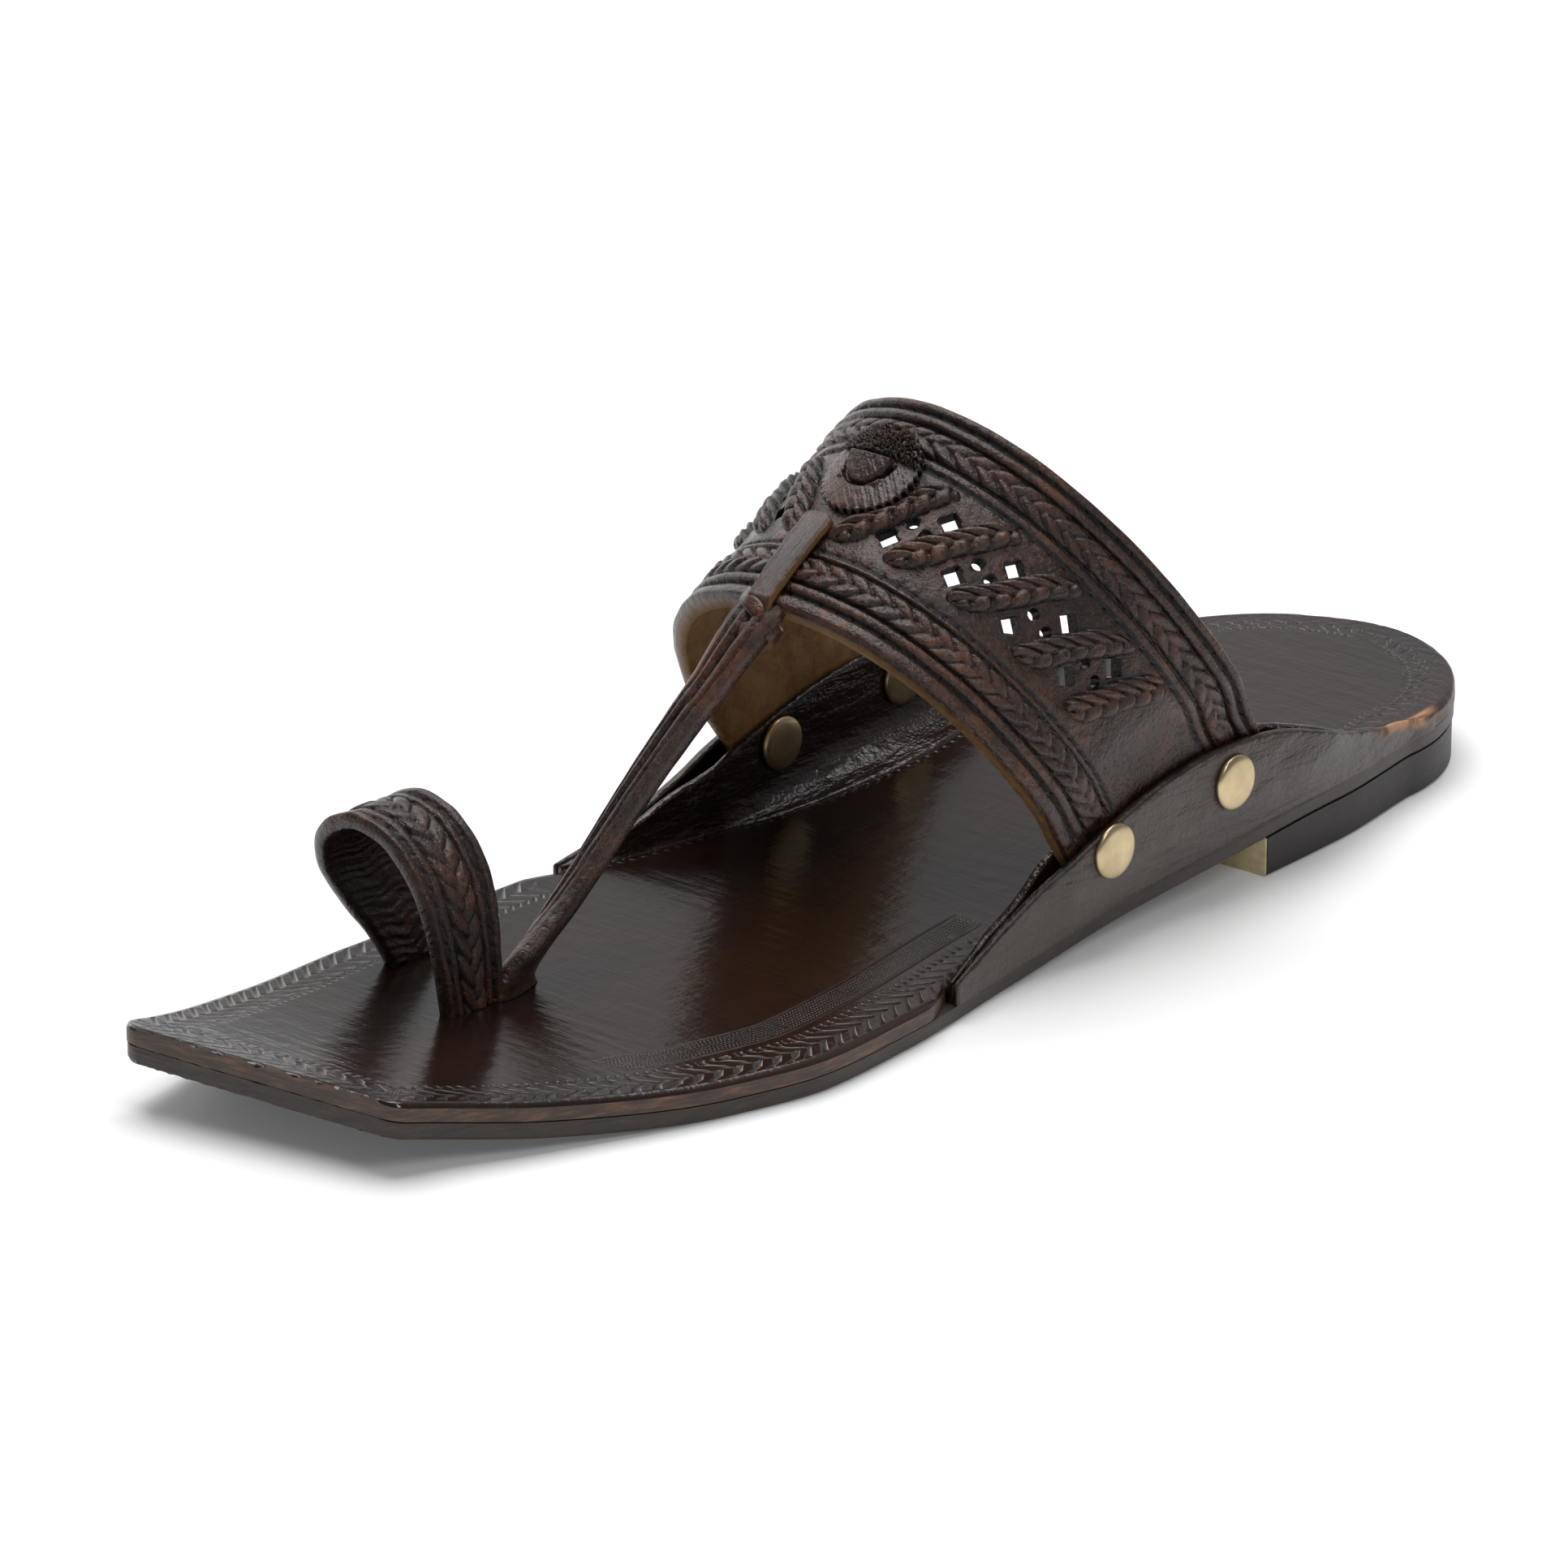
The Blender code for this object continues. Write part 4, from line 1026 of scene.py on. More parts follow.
def make_band(looks):
    columns = []
    for number in range(10, 0, -1):
        columns.append((-90.0, number / 10.0))
    count = 440
    for number in range(count + 1):
        columns.append((-90.0 + 180.0 * number / count, 0.0))
    for number in range(1, 11):
        columns.append((90.0, number / 10.0))
    shares = band_rows()
    rows = len(shares)
    verts, painted_light_shares, lining, threads = [], [], [], []
    along = 0.0
    before = None
    crown = band_middle(ROSETTE_DEGREES, ROSETTE_SHARE)
    lengths = []
    for degrees, drop in columns:
        here = band_middle(degrees, 0.5, drop)
        if before is not None:
            along += (here - before).length
        before = here
        lengths.append(along)
    for (degrees, drop), length in zip(columns, lengths):
        for share in shares:
            point = band_middle(degrees, share, drop)
            fade = smooth(point.z, ear_top(point.y) - 1.0, ear_top(point.y) + 2.2)
            away = (point - crown).length
            fade *= smooth(away, ROSETTE_RADIUS - 2.0, ROSETTE_RADIUS)
            height, painted_light_share, thread = band_height(length, share, fade)
            end = min(share, 1.0 - share)
            height -= 0.75 * (1.0 - smooth(end, 0.0, 0.014))
            height += 0.10 * wobble(length * 0.22 + share * 3.0, share * 9.0)
            verts.append(band_point(degrees, share, height, drop))
            painted_light_shares.append(painted_light_share)
            lining.append(0.35 * (1.0 - smooth(end, 0.0, 0.004)))
            threads.append(thread)
    base = len(verts)
    low_rows = 14
    for degrees, drop in columns:
        for row in range(low_rows):
            share = row / (low_rows - 1)
            verts.append(band_point(degrees, share, -BAND_THICKNESS, drop))
            painted_light_shares.append(1.0)
            lining.append(1.0)
            threads.append(0.0)
    faces = shell_faces(len(columns), rows, base, low_rows)
    cover = {"painted_light_share": painted_light_shares, "lining": lining, "thread": threads}
    band = mesh_object("instep_band", verts, faces, [looks["upper"]], cover)
    fix_normals(band)
    cutters = []
    for side in (-1.0, 1.0):
        for degrees, share, step in HOLE_GROUPS:
            for sign in (-1.0, 1.0):
                where = panel_degrees(side, degrees + sign * step)
                cutters.append((where, share + sign * 0.083, HOLE_DIAMOND, 4, 0.12 * side))
                where = panel_degrees(side, degrees + sign * 2.1)
                cutters.append((where, share - sign * 0.012, HOLE_ROUND, 14, 0.5))
    verts, faces = [], []
    for degrees, share, radius, sides, turn in cutters:
        centre = band_point(degrees, share, 0.0)
        normal = band_normal(degrees, share)
        axis = Vector((normal.x, -normal.y, normal.z))
        run = band_point(degrees, share + 0.05, 0.0) - centre
        run.normalize()
        wide = axis.cross(run)
        wide.normalize()
        start = len(verts)
        for depth in (3.6, -BAND_THICKNESS - 1.6):
            for i in range(sides):
                angle = 2.0 * math.pi * (i + turn) / sides
                spread = run * math.cos(angle) * radius * MM + wide * math.sin(angle) * radius * MM
                verts.append(centre + axis * depth * MM + spread)
        for i in range(sides):
            k = (i + 1) % sides
            faces.append((start + i, start + k, start + sides + k, start + sides + i))
        faces.append(tuple(range(start, start + sides)))
        faces.append(tuple(range(start + 2 * sides - 1, start + sides - 1, -1)))
    cutter = mesh_object("hole_cutter", verts, faces, [looks["upper"]], None, False)
    fix_normals(cutter)
    modifier = band.modifiers.new("holes", "BOOLEAN")
    modifier.operation = "DIFFERENCE"
    modifier.solver = "EXACT"
    modifier.object = cutter
    graph = bpy.context.evaluated_depsgraph_get()
    mesh = bpy.data.meshes.new_from_object(band.evaluated_get(graph))
    band.modifiers.clear()
    band.data = mesh
    bpy.data.objects.remove(cutter)
    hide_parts("upper")
    return band


def make_bars(looks):
    verts, faces, painted_light_shares = [], [], []
    crown = band_middle(ROSETTE_DEGREES, ROSETTE_SHARE)
    for side in (-1.0, 1.0):
        for number, (start, end) in enumerate(BARS):
            base = len(verts)
            columns, rows = 96, 31
            length = 0.0
            before = None
            for i in range(columns):
                t = 0.5 - 0.5 * math.cos(math.pi * i / (columns - 1))
                share = BAR_FIRST_SHARE + (BAR_LAST_SHARE - BAR_FIRST_SHARE) * t
                degrees = panel_degrees(side, start + (end - start) * t)
                degrees += 0.35 * wobble(t * 5.0, number * 2.0 + side)
                here = band_middle(degrees, share)
                if before is not None:
                    length += (here - before).length
                before = here
                wide = (band_middle(degrees + 1.0, share) - here).length
                end_round = math.sqrt(max(0.0, 1.0 - abs(2.0 * t - 1.0) ** 7))
                half = BAR_HALF_WIDTH * 1.22 * end_round * (1.0 + 0.06 * wobble(t * 7.0, number + 4.0 * side))
                for j in range(rows):
                    across = -1.0 + 2.0 * j / (rows - 1)
                    lift = plait(length / BAR_PITCH + 7.0, across * 1.02, 0.5)
                    arch = max(0.0, 1.0 - abs(across) ** 5) ** 0.5
                    around = degrees + across * half / wide
                    height = arch * end_round * (0.75 + BAR_RISE * lift) - 0.45
                    away = (band_middle(around, share) - crown).length
                    if height > 0.0:
                        height *= smooth(away, ROSETTE_RADIUS - 1.5, ROSETTE_RADIUS + 1.5)
                    verts.append(band_point(around, share, height))
                    # painted shade between the plait lobes and towards the bar edges
                    painted_light_shares.append(0.04 + 0.96 * smooth(lift * arch, 0.2, 0.75))
            faces += grid_faces(columns, rows, base)
    cover = {"painted_light_share": painted_light_shares, "lining": [0.0] * len(verts), "thread": [0.0] * len(verts)}
    body = mesh_object("plaited_bars", verts, faces, [looks["upper"]], cover)
    fix_normals(body)
    return body


def make_strap(looks):
    """Flat strap end over the front border, with a rounded tip at the rosette."""
    rings, painted_light_share, raw, streaks, runs = [], [], [], [], []
    count = 90
    size = 48
    for i in range(count + 1):
        t = i / count
        share = -0.055 + 0.465 * t
        degrees = -2.6 - 3.6 * share
        on = max(0.0, share)
        wide = (band_middle(degrees + 1.0, on) - band_middle(degrees, on)).length
        lift = 1.0 + 0.75 * bump(t, 0.42, 0.62)
        tip = math.sqrt(max(0.0, 1.0 - smooth(t, 0.93, 1.0) ** 3))
        half = (STRAP_HALF_WIDTH - 0.5 + 0.8 * t) * (0.55 + 0.45 * tip)
        ring = []
        for j in range(size):
            angle = 2.0 * math.pi * j / size
            across = signed_power(math.cos(angle), 0.30)
            up = signed_power(math.sin(angle), 0.45)
            raised = lift + 0.80 * up + 0.10 * up * bump(abs(across), 0.86, 0.14)
            raised += 0.06 * wobble(t * 16.0 + across * 2.0, 2.0)
            point = band_middle(degrees + across * half / wide, on) + band_normal(degrees, on) * raised
            if share < 0.0:
                point = point + Vector((0.0, -share * 34.0, share * 78.0))
            ring.append(place(point.x, point.y, point.z))
            # painted shade on the strap's underside
            painted_light_share.append(0.95 if up > -0.2 else 0.45)
            raw.append(0.55 * bump(up, 0.0, 0.9) if across > 0.8 else 0.0)
            streaks.append(across * half)
            runs.append(t * STRAP_RUN)
        rings.append(ring)
    cover = {"painted_light_share": painted_light_share, "lining": raw, "thread": [0.0] * len(painted_light_share),
             "across_mm": streaks, "length_mm": runs}
    body = tube("strap_end", rings, looks["smooth"], cover)
    return body


def make_knot(looks):
    """Thong ends that wrap each other in front of the band's edge."""
    bodies = []
    for number, (turn, offset, lean) in enumerate(((0.0, 0.0, 0.55), (2.4, 2.6, -0.45))):
        rings, painted_light_share, raw = [], [], []
        count, size = 72, 20
        for i in range(count + 1):
            t = i / count
            angle = turn + 2.0 * math.pi * 0.86 * t
            centre = Vector((-3.1, 165.3 + offset, 60.6 - offset * 1.15))
            run = Vector((-0.12, 0.75, -0.68))
            side = Vector((1.0, 0.0, 0.0))
            up = Vector((0.0, 0.66, 0.74))
            out = side * math.cos(angle) * 4.3 + up * math.sin(angle) * 2.9
            middle = centre + out + run * (lean * 4.2 * math.cos(angle) + 1.4 * (t - 0.5))
            tangent = side * -math.sin(angle) * 4.3 + up * math.cos(angle) * 2.9
            tangent = tangent + run * (-lean * 4.2 * math.sin(angle))
            tangent.normalize()
            flat = run - tangent * run.dot(tangent)
            flat.normalize()
            thick = tangent.cross(flat)
            taper = 0.55 + 0.45 * bump(t, 0.5, 0.62)
            ring = []
            for j in range(size):
                around = 2.0 * math.pi * j / size
                a = signed_power(math.cos(around), 0.7)
                b = signed_power(math.sin(around), 0.7)
                point = middle + flat * a * 1.75 * taper + thick * b * 0.75 * taper
                ring.append(place(point.x, point.y, point.z))
                # painted shade towards the flat edges of each wrap
                painted_light_share.append(1.0 - 0.8 * smooth(abs(a), 0.6, 1.0))
                raw.append(0.75 * smooth(a, 0.75, 1.0) if number else 0.0)
            rings.append(ring)
        cover = {"painted_light_share": painted_light_share, "lining": raw, "thread": [0.0] * len(painted_light_share)}
        body = tube("thong_wrap_%d" % (number + 1), rings, looks["smooth"], cover)
        bodies.append(body)
    return bodies


def make_thong(looks):
    rings, painted_light_share, lining, streaks, runs = [], [], [], [], []
    count = 220
    size = 72
    for i in range(count + 1):
        t = i / count
        row = [curve(THONG_SECTIONS, c, t) for c in range(1, 7)]
        back = [curve(THONG_SECTIONS, c, max(0.0, t - 0.01)) for c in range(1, 4)]
        ahead = [curve(THONG_SECTIONS, c, min(1.0, t + 0.01)) for c in range(1, 4)]
        x, s, z, half, depth, turn = row
        run = Vector(ahead) - Vector(back)
        if t < 0.06:
            run = run.lerp(Vector((0.0, 0.0, run.length)), 1.0 - t / 0.06)
        run.normalize()
        wide = Vector((math.cos(math.radians(turn)), math.sin(math.radians(turn)), 0.0))
        wide = wide - run * wide.dot(run)
        wide.normalize()
        up = run.cross(wide)
        ring = []
        for j in range(size):
            angle = 2.0 * math.pi * j / size
            across = signed_power(math.cos(angle), 0.8)
            out = signed_power(math.sin(angle), 0.75)
            groove = 0.0
            if out > 0.0:
                centre = 0.05 + 0.10 * wobble(t * 6.0, 1.0)
                groove = 0.85 * bump(across, centre, 0.20)
                groove = max(groove, 0.32 * bump(across, centre - 0.50, 0.09))
                groove = max(groove, 0.28 * bump(across, centre + 0.52, 0.08))
            ripple = 0.6 * wobble(t * 46.0 + across * 1.5, 2.0) * 0.08
            point = Vector((x, s, z)) + wide * across * half * (1.0 + ripple * 0.4)
            point += up * (out - groove) * depth
            ring.append(place(point.x, point.y, point.z))
            # painted shade in the lengthwise grooves
            painted_light_share.append(1.0 - 0.97 * min(1.0, groove * 2.2))
            cut = (1.0 - smooth(t, 0.02, 0.05)) * smooth(out, -0.2, 0.3) * smooth(across, -0.2, 0.3)
            lining.append(0.9 * cut)
            streaks.append(across * half)
            runs.append(t * THONG_RUN)
        rings.append(ring)
    cover = {"painted_light_share": painted_light_share, "lining": lining, "thread": [0.0] * len(painted_light_share),
             "across_mm": streaks, "length_mm": runs}
    body = tube("toe_thong", rings, looks["smooth"], cover)
    return body


def make_loop(looks):
    columns, rows, low_rows = 250, 76, 34
    verts, painted_light_shares, lining, threads = [], [], [], []
    frames = []
    length = 0.0
    before = None
    for i in range(columns):
        t = i / (columns - 1)
        x, z, s, half = [curve(LOOP_SECTIONS, c, t) for c in (1, 2, 3, 4)]
        xa, za = [curve(LOOP_SECTIONS, c, max(0.0, t - 0.012)) for c in (1, 2)]
        xb, zb = [curve(LOOP_SECTIONS, c, min(1.0, t + 0.012)) for c in (1, 2)]
        out = Vector((-(zb - za), 0.0, xb - xa))
        out.normalize()
        here = Vector((x, s, z))
        if before is not None:
            length += (here - before).length
        before = here
        frames.append((x, z, s, half, out, length))
    for x, z, s, half, out, length in frames:
        for j in range(rows):
            across = -1.0 + 2.0 * j / (rows - 1)
            # painted shade: slight on the flat, more between plait lobes, at stitch holes and in the grooves
            height, painted_light_share, thread = 0.0, 0.85, 0.0
            for centre, wide, rise in LOOP_RIDGES:
                height = max(height, rise * bump(across, centre, wide) ** 0.45)
            if abs(across) < 0.38:
                lift = plait(length / BRAID_PITCH, across / 0.38)
                height = max(height, 1.0 * lift)
                painted_light_share = 0.05 + 0.95 * smooth(lift, 0.20, 0.70)
            for row in (-0.70, 0.70):
                near = bump(across, row, 0.06)
                if near > 0.0:
                    dash = sewn_dash(length)
                    height += near * (0.3 * dash - 0.45)
                    thread = dash * smooth(near, 0.15, 0.6)
                    painted_light_share = min(painted_light_share, 1.0 - near * (1.0 - 0.5 * dash))
            for groove in (-0.41, 0.41):
                near = bump(across, groove, 0.04)
                height -= 0.4 * near
                painted_light_share = min(painted_light_share, 1.0 - near)
            height -= 0.7 * (1.0 - smooth(1.0 - abs(across), 0.0, 0.07))
            height += 0.10 * wobble(length * 0.4 + across * 3.0, across * 4.0)
            verts.append(place(x + out.x * height, s + across * half, z + out.z * height))
            painted_light_shares.append(painted_light_share)
            lining.append(0.0)
            threads.append(thread)
    base = len(verts)
    for x, z, s, half, out, length in frames:
        for j in range(low_rows):
            across = -1.0 + 2.0 * j / (low_rows - 1)
            swing = length + 0.9 * wobble(across * 2.2, 1.0) + 0.5 * wobble(length * 0.9, 3.0)
            fold = 0.15 * math.sin(swing * 3.1) + 0.09 * math.sin(swing * 6.7 + across * 3.0)
            depth = -LOOP_THICKNESS + fold * (1.0 - abs(across) ** 4)
            depth += 0.5 * (1.0 - smooth(1.0 - abs(across), 0.0, 0.1))
            verts.append(place(x + out.x * depth, s + across * half, z + out.z * depth))
            # painted shade on the loop's inner face, darkest in the fold troughs
            painted_light_shares.append(0.30 + 0.4 * smooth(fold, -0.3, 0.3))
            lining.append(0.0)
            threads.append(0.0)
    faces = shell_faces(columns, rows, base, low_rows)
    cover = {"painted_light_share": painted_light_shares, "lining": lining, "thread": threads}
    body = mesh_object("toe_loop", verts, faces, [looks["upper"]], cover)
    fix_normals(body)
    return body


def make_ear(side, word, looks):
    outer_rings, inner_rings = [], []
    outer_cover = {"rim": [], "inside": [], "worn": []}
    inner_cover = {"rim": [], "inside": [], "worn": []}
    stations = [EAR_RIM_START + (EAR_END - EAR_RIM_START) * i / 170 for i in range(171)]
    full = BAND_BASE_HALF_WIDTH + EAR_CLEARANCE + EAR_OUTER_THICKNESS
    for station in stations:
        top, share, ply = [curve(EAR_SECTIONS, c, station) for c in (1, 2, 3)]
        edge, real = edge_point(station, side)
        edge = abs(edge) + 0.12
        base = sole_bottom(real) + OUTSOLE_THICKNESS + 0.05
        top = max(top, base + 0.8)
        if station < EAR_RIM_END:
            rise = smooth(station, 30.0, EAR_RIM_END)
            top = footbed_top(real) - 0.5 + (top - footbed_top(real) + 0.5) * rise
            ply *= 0.4 + 0.6 * rise

        def face_at(z):
            rise = smooth(z, base - 2.0, base + EAR_FLARE_HEIGHT)
            return edge + (full - edge) * share * rise

        outer_ply = EAR_OUTER_THICKNESS * ply
        inner_ply = EAR_INNER_THICKNESS * ply
        steps = 16
        ring = []
        for i in range(steps + 1):
            z = base + (top - 0.7 - base) * i / steps
            ring.append((face_at(z), z, 0.0, 0.0))
        for i in range(1, 6):
            angle = math.pi * i / 6.0
            x = face_at(top) - outer_ply / 2.0 + outer_ply / 2.0 * math.cos(angle)
            ring.append((x, top - 0.7 + 0.7 * math.sin(angle), 1.0, 0.0))
        for i in range(steps, -1, -1):
            z = base + (top - 0.7 - base) * i / steps
            ring.append((face_at(z) - outer_ply, z, 0.0, 1.0))
        outer_rings.append([place(side * p[0], real, p[1]) for p in ring])
        outer_cover["rim"] += [p[2] for p in ring]
        outer_cover["inside"] += [p[3] for p in ring]
        tip = smooth(station, 30.0, 34.0) * (1.0 - smooth(station, EAR_RIM_END, 54.0))
        near = [smooth(p[1], top - 2.4, top - 0.6) for p in ring]
        outer_cover["worn"] += [tip * max(p[2], level) for p, level in zip(ring, near)]
        if station < EAR_INNER_START:
            continue
        bed = base + INSOLE_THICKNESS + 0.25
        foot = edge - insole_inset(station) + EAR_CLEARANCE
        between = EAR_CLEARANCE + BAND_THICKNESS + EAR_CLEARANCE
        between = EAR_CLEARANCE + (between - EAR_CLEARANCE) * smooth(share, 0.3, 1.0)
        back = face_at(top) - outer_ply - between
        low_back = min(back, edge - outer_ply - EAR_CLEARANCE)
        face = back - inner_ply
        foot = min(foot, face)
        inner_top = max(top - 0.2, bed + 0.6)
        fillet = min(EAR_FILLET_HEIGHT, 0.8 * (inner_top - bed))
        ring = [(foot - 0.2, base, 0.0, 1.0)]
        for i in range(13):
            turn = math.radians(90.0 * i / 12.0)
            z = bed - 0.3 + (fillet + 0.3) * (1.0 - math.cos(turn))
            ring.append((foot + (face - foot) * math.sin(turn), z, 0.0, 1.0))
        for i in range(1, 7):
            ring.append((face, bed + fillet + (inner_top - 0.5 - bed - fillet) * i / 6.0, 0.0, 1.0))
        for i in range(1, 6):
            angle = math.pi * i / 6.0
            x = face + inner_ply / 2.0 - inner_ply / 2.0 * math.cos(angle)
            ring.append((x, inner_top - 0.5 + 0.5 * math.sin(angle), 0.8, 1.0))
        for i in range(6, -1, -1):
            ring.append((back, bed + fillet + (inner_top - 0.5 - bed - fillet) * i / 6.0, 0.0, 1.0))
        ring.append((low_back, base, 0.0, 1.0))
        inner_rings.append([place(side * p[0], real, p[1]) for p in ring])
        inner_cover["rim"] += [p[2] for p in ring]
        inner_cover["inside"] += [p[3] for p in ring]
        inner_cover["worn"] += [0.0] * len(ring)
    outer = tube("ear_" + word + "_outer_ply", outer_rings, looks["ear"], outer_cover)
    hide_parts("ear_" + word + "_outer")
    inner = tube("ear_" + word + "_inner_ply", inner_rings, looks["ear"], inner_cover)
    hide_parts("ear_" + word + "_inner")
    return [outer, inner]


def make_rivets(looks):
    bodies = []
    outer = BAND_BASE_HALF_WIDTH + EAR_CLEARANCE + EAR_OUTER_THICKNESS
    inner = BAND_BASE_HALF_WIDTH - BAND_THICKNESS - 2.0 * EAR_CLEARANCE - EAR_INNER_THICKNESS
    for side, word in ((1.0, "lateral"), (-1.0, "medial")):
        for (station, height), where in zip(RIVETS, ("front", "rear")):
            profile = []
            for i in range(9):
                angle = math.radians(90.0 * i / 8.0)
                radius = RIVET_HEAD_RADIUS * math.sin(angle) ** 0.8 if i else 0.05
                profile.append((outer + 0.15 + RIVET_HEAD_HEIGHT * math.cos(angle) ** 0.6, radius))
            profile.append((outer, RIVET_HEAD_RADIUS * 0.97))
            profile.append((outer, RIVET_SHANK_RADIUS))
            profile.append((inner, RIVET_SHANK_RADIUS))
            profile.append((inner, RIVET_HEAD_RADIUS * 0.97))
            for i in range(8, -1, -1):
                angle = math.radians(90.0 * i / 8.0)
                radius = RIVET_HEAD_RADIUS * math.sin(angle) ** 0.8 if i else 0.05
                profile.append((inner - 0.15 - 0.85 * RIVET_HEAD_HEIGHT * math.cos(angle) ** 0.6, radius))
            rings = []
            for x, radius in profile:
                ring = []
                for k in range(48):
                    angle = 2.0 * math.pi * k / 48
                    s, z = station + radius * math.sin(angle), height + radius * math.cos(angle)
                    ring.append(place(side * x, s, z))
                rings.append(ring)
            body = tube("rivet_" + word + "_" + where + "_head", rings, looks["brass"])
            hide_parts("rivet_" + word + "_" + where)
            bodies.append(body)
    return bodies


def make_rosette(looks):
    """Pinked disc with a raised flap behind a sunken slit painted dark as shadow, and a stippled tuft at the
    rear.
    """
    wide = (band_middle(1.0, ROSETTE_SHARE) - band_middle(0.0, ROSETTE_SHARE)).length
    length = (band_middle(0.0, 1.0) - band_middle(0.0, 0.0)).length

    def point(x, y, raised):
        return band_point(ROSETTE_DEGREES + x / wide, ROSETTE_SHARE + y / length, raised)

    sectors, rings = 360, 60
    verts, painted_light_shares = [], []
    for ring in range(rings + 1):
        share = ring / rings
        for i in range(sectors):
            angle = 2.0 * math.pi * i / sectors
            teeth = abs((i * PINKED_TEETH / sectors) % 1.0 - 0.5) * 2.0
            radius = ROSETTE_RADIUS + 0.7 * (teeth - 0.5) * smooth(share, 0.84, 1.0)
            radius *= min(1.0, share * 1.05)
            x, y = radius * math.sin(angle), radius * math.cos(angle)
            raised = 1.35 + 0.75 * math.sqrt(max(0.0, 1.0 - share ** 2))
            # painted shade: slight over the disc, more on the pinked rim under the disc edge and over the
            # tuft's ground, and painted shadow in the slit under the flap
            painted_light_share = 0.82
            if share * 1.05 > 1.0:
                raised = 0.2
                painted_light_share = 0.3
            behind = smooth(y, 2.0, 3.0)
            painted_light_share -= 0.45 * behind
            raised += behind * 0.6 * math.sqrt(max(0.0, 1.0 - min(1.0, share * 1.05) ** 2))
            flap = (1.0 - smooth(abs(x + 0.4), 4.2, 4.6)) * (1.0 - smooth(abs(y + 0.9), 2.5, 2.9))
            raised += flap * (0.25 + 0.22 * (y + 3.5))
            arc = math.hypot((x + 0.4) / 5.0, (y - 1.6) / 5.6)
            slit = bump(arc, 0.98, 0.11) * (1.0 - smooth(y, 0.6, 1.6))
            raised -= 1.5 * slit
            painted_light_share = min(painted_light_share, 1.0 - slit)
            raised += 0.05 * wobble(x * 2.1 + y, y * 1.7)
            verts.append(point(x, y, raised))
            painted_light_shares.append(painted_light_share)
    faces = []
    for ring in range(rings):
        for i in range(sectors):
            k = (i + 1) % sectors
            a, b = ring * sectors, (ring + 1) * sectors
            faces.append((a + i, b + i, b + k, a + k))
    maker = random.Random(5)
    for number in range(760):
        while True:
            x = maker.uniform(-8.6, 8.6)
            y = maker.uniform(2.3, 9.0)
            if math.hypot(x, y) < 8.7:
                break
        tall = maker.uniform(0.35, 0.85)
        thick = maker.uniform(0.16, 0.30)
        far = math.hypot(x, y) / ROSETTE_RADIUS
        lift = 1.35 + 1.3 * math.sqrt(max(0.0, 1.0 - far ** 2))
        lean_x = 0.05 * x + maker.uniform(-0.25, 0.25)
        lean_y = 0.05 * y + maker.uniform(-0.25, 0.25)
        base = len(verts)
        # painted shade at the foot of each tuft, lighter towards its tip
        for size, up, painted_light_share in ((1.0, -0.4, 0.05), (0.9, 0.5, 0.45), (0.35, 1.0, 0.9)):
            for k in range(5):
                angle = 2.0 * math.pi * k / 5 + number
                px = x + lean_x * max(0.0, up) + thick * size * math.cos(angle)
                py = y + lean_y * max(0.0, up) + thick * size * math.sin(angle)
                verts.append(point(px, py, lift + tall * up))
                painted_light_shares.append(painted_light_share)
        for level in range(2):
            for k in range(5):
                n = (k + 1) % 5
                a = base + level * 5
                faces.append((a + k, a + n, a + 5 + n, a + 5 + k))
        faces.append(tuple(base + 10 + k for k in range(5)))
    cover = {"painted_light_share": painted_light_shares, "lining": [0.0] * len(verts), "thread": [0.0] * len(verts)}
    body = mesh_object("rosette_disc", verts, faces, [looks["rosette"]], cover)
    fix_normals(body)
    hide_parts("rosette")
    return body


def area_light(name, position, target, size, radiance):
    """Softbox with a given radiance, so its power follows from its size."""
    data = bpy.data.lights.new(name, "AREA")
    data.shape = "RECTANGLE"
    data.size, data.size_y = size
    data.energy = radiance * math.pi * size[0] * size[1]
    lamp = bpy.data.objects.new(name, data)
    lamp.location = position
    direction = Vector(target) - Vector(position)
    lamp.rotation_euler = direction.to_track_quat("-Z", "Y").to_euler()
    bpy.context.scene.collection.objects.link(lamp)
    return lamp


def make_world():
    """Bright behind and above the shoe, darker on the viewer's side of the room."""
    world = bpy.data.worlds.new("studio")
    bpy.context.scene.world = world
    world.use_nodes = True
    tree = world.node_tree
    shade = tree.nodes["Background"]
    where = tree.nodes.new("ShaderNodeTexCoord").outputs["Generated"]
    product = tree.nodes.new("ShaderNodeVectorMath")
    product.operation = "DOT_PRODUCT"
    product.inputs[1].default_value = (-0.62, 0.70, 0.35)
    tree.links.new(where, product.inputs[0])
    ramp = tree.nodes.new("ShaderNodeValToRGB")
    stops = ((0.0, 0.16), (0.35, 0.26), (0.75, 0.42))
    elements = ramp.color_ramp.elements
    elements.new(0.5)
    for element, (position, value) in zip(elements, stops):
        element.position = position
        element.color = (value, value, value, 1.0)
    tree.links.new(product.outputs["Value"], ramp.inputs["Fac"])
    tree.links.new(ramp.outputs["Color"], shade.inputs["Color"])
    shade.inputs["Strength"].default_value = 1.0


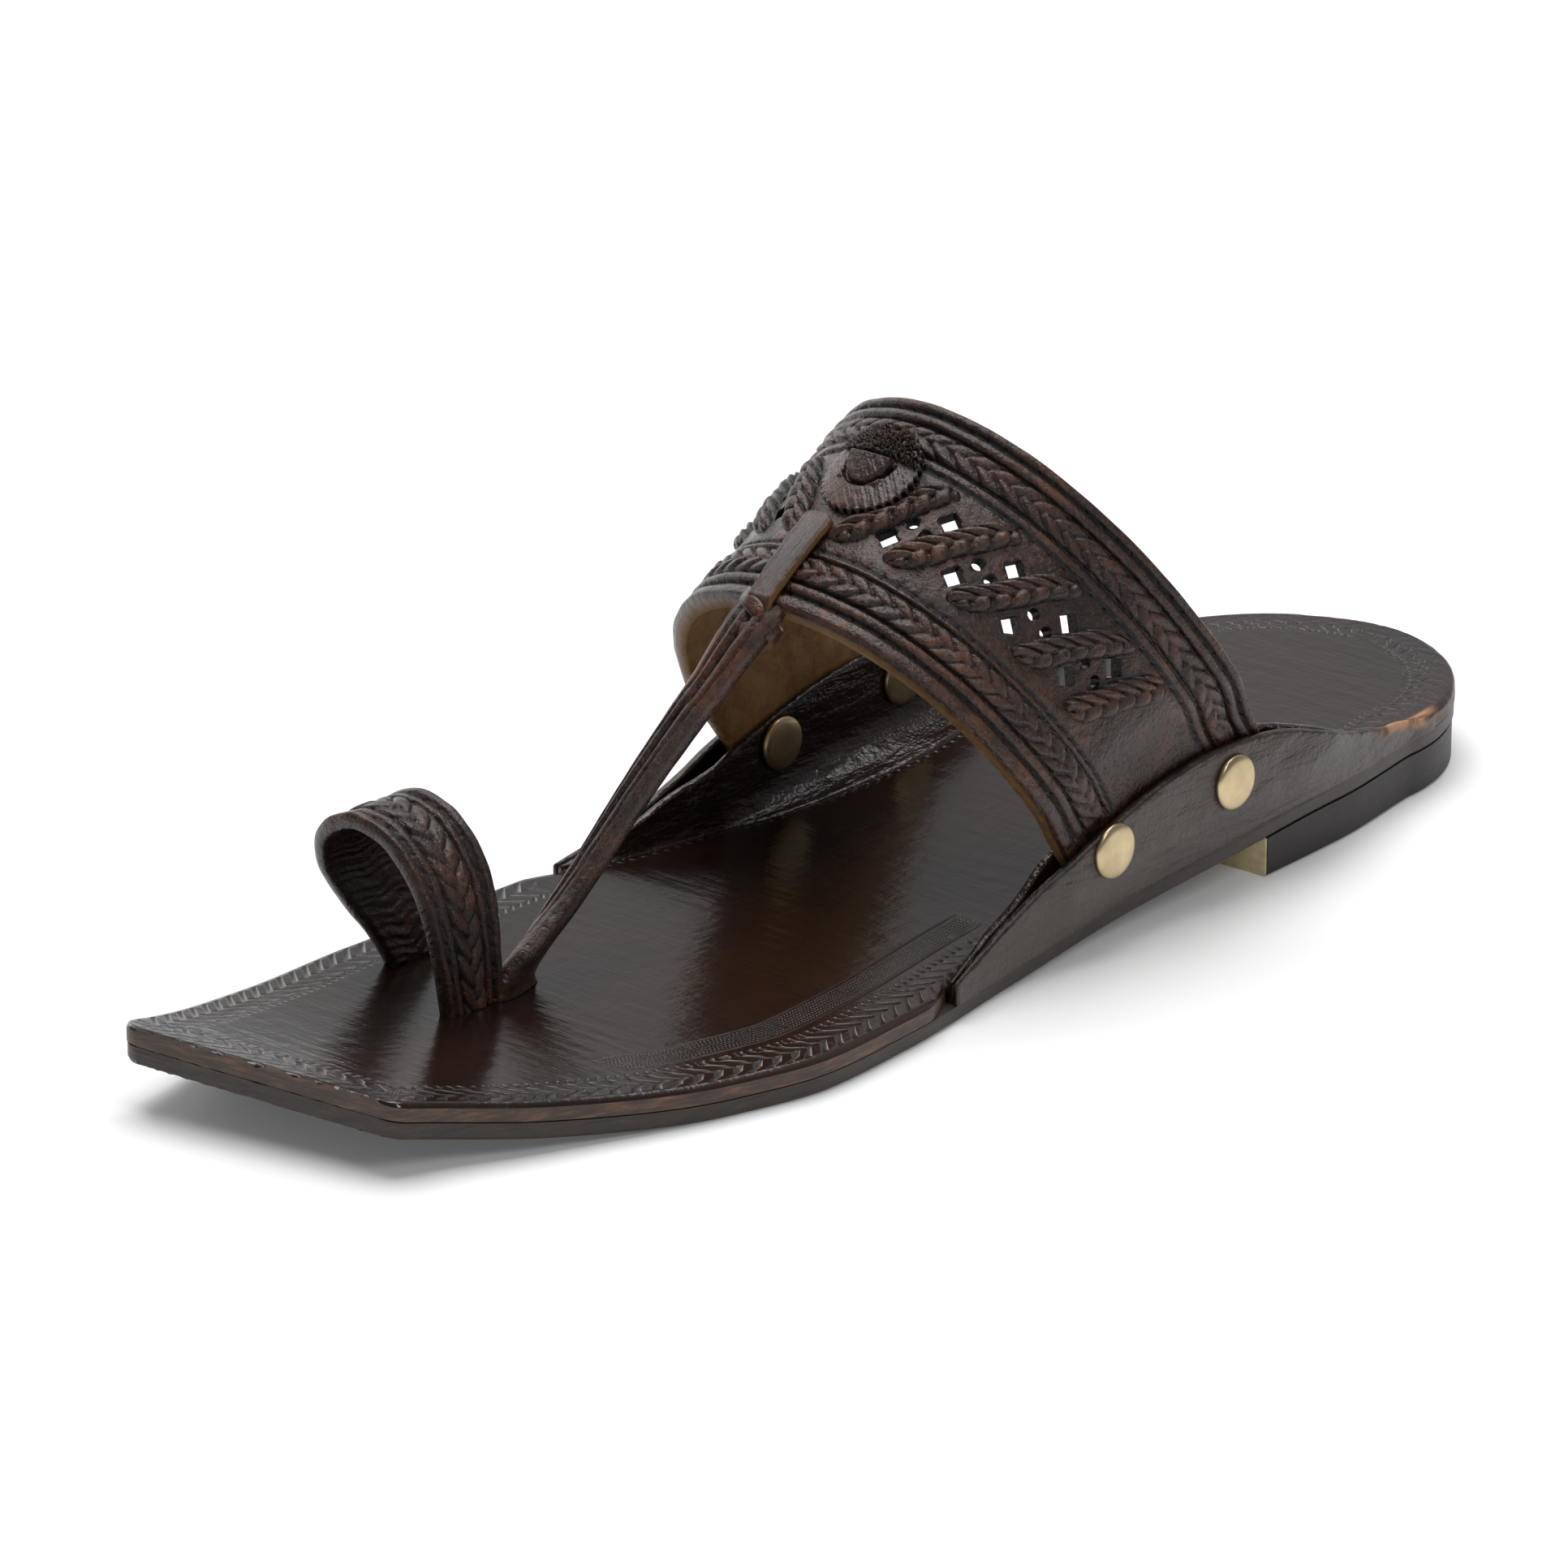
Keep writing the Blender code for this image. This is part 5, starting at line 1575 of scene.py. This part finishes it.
def make_studio():
    scene = bpy.context.scene
    bpy.ops.mesh.primitive_plane_add(size=FLOOR_SIZE, location=(0.0, 0.0, 0.0))
    floor = bpy.context.object
    floor.name = "floor"
    floor.data.materials.append(floor_material())
    make_world()
    area_light("back_softbox", (-2.30, 0.75, 0.85), (0.0, -0.1, 0.05), (1.7, 1.3), 1.7)
    area_light("top_softbox", (-0.30, 0.20, 1.70), (0.0, 0.0, 0.0), (1.4, 1.4), 4.6)
    area_light("side_strip", (1.30, -0.35, 1.35), (0.0, 0.0, 0.05), (0.12, 0.7), 22.0)
    data = bpy.data.cameras.new("camera")
    camera = bpy.data.objects.new("camera", data)
    yaw, pitch = math.radians(CAMERA_YAW), math.radians(CAMERA_PITCH)
    forward = Vector((-math.sin(yaw) * math.cos(pitch), math.cos(yaw) * math.cos(pitch), -math.sin(pitch)))
    right = Vector((math.cos(yaw), math.sin(yaw), 0.0))
    up = right.cross(forward)
    turn = Matrix((right, up, -forward)).transposed().to_4x4()
    camera.matrix_world = Matrix.Translation(CAMERA_POSITION) @ turn
    data.sensor_width = 36.0
    data.lens = CAMERA_LENS
    data.clip_start = 0.05
    data.clip_end = 30.0
    scene.collection.objects.link(camera)
    scene.camera = camera
    scene.view_settings.view_transform = "Standard"
    scene.view_settings.look = "None"
    scene.view_settings.exposure = 0.0


def main():
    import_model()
    looks = {
        "footbed": footbed_material(),
        "outsole": sole_material("outsole_edge", (0.012, 0.008, 0.006), (0.042, 0.026, 0.019),
                                 (0.22, 0.105, 0.055), 0.35),
        "heel": sole_material("heel_stack", (0.007, 0.005, 0.0045), (0.018, 0.012, 0.010),
                              (0.042, 0.024, 0.016), 0.42),
        "breast": breast_material(),
        "ear": ear_material(),
        "upper": upper_material(),
        "smooth": upper_material("strap_smooth", 0.45, 0.10),
        "rosette": upper_material("rosette_grain", 0.7, 0.13),
        "brass": brass_material(),
    }
    bodies = make_soles(looks)
    for side, word in ((1.0, "lateral"), (-1.0, "medial")):
        bodies += make_ear(side, word, looks)
    bodies.append(make_band(looks))
    bodies.append(make_bars(looks))
    bodies.append(make_strap(looks))
    bodies += make_knot(looks)
    bodies.append(make_thong(looks))
    bodies.append(make_loop(looks))
    bodies.append(make_rosette(looks))
    bodies += make_rivets(looks)
    for body in bodies:
        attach(body, "root")
    make_studio()


main()
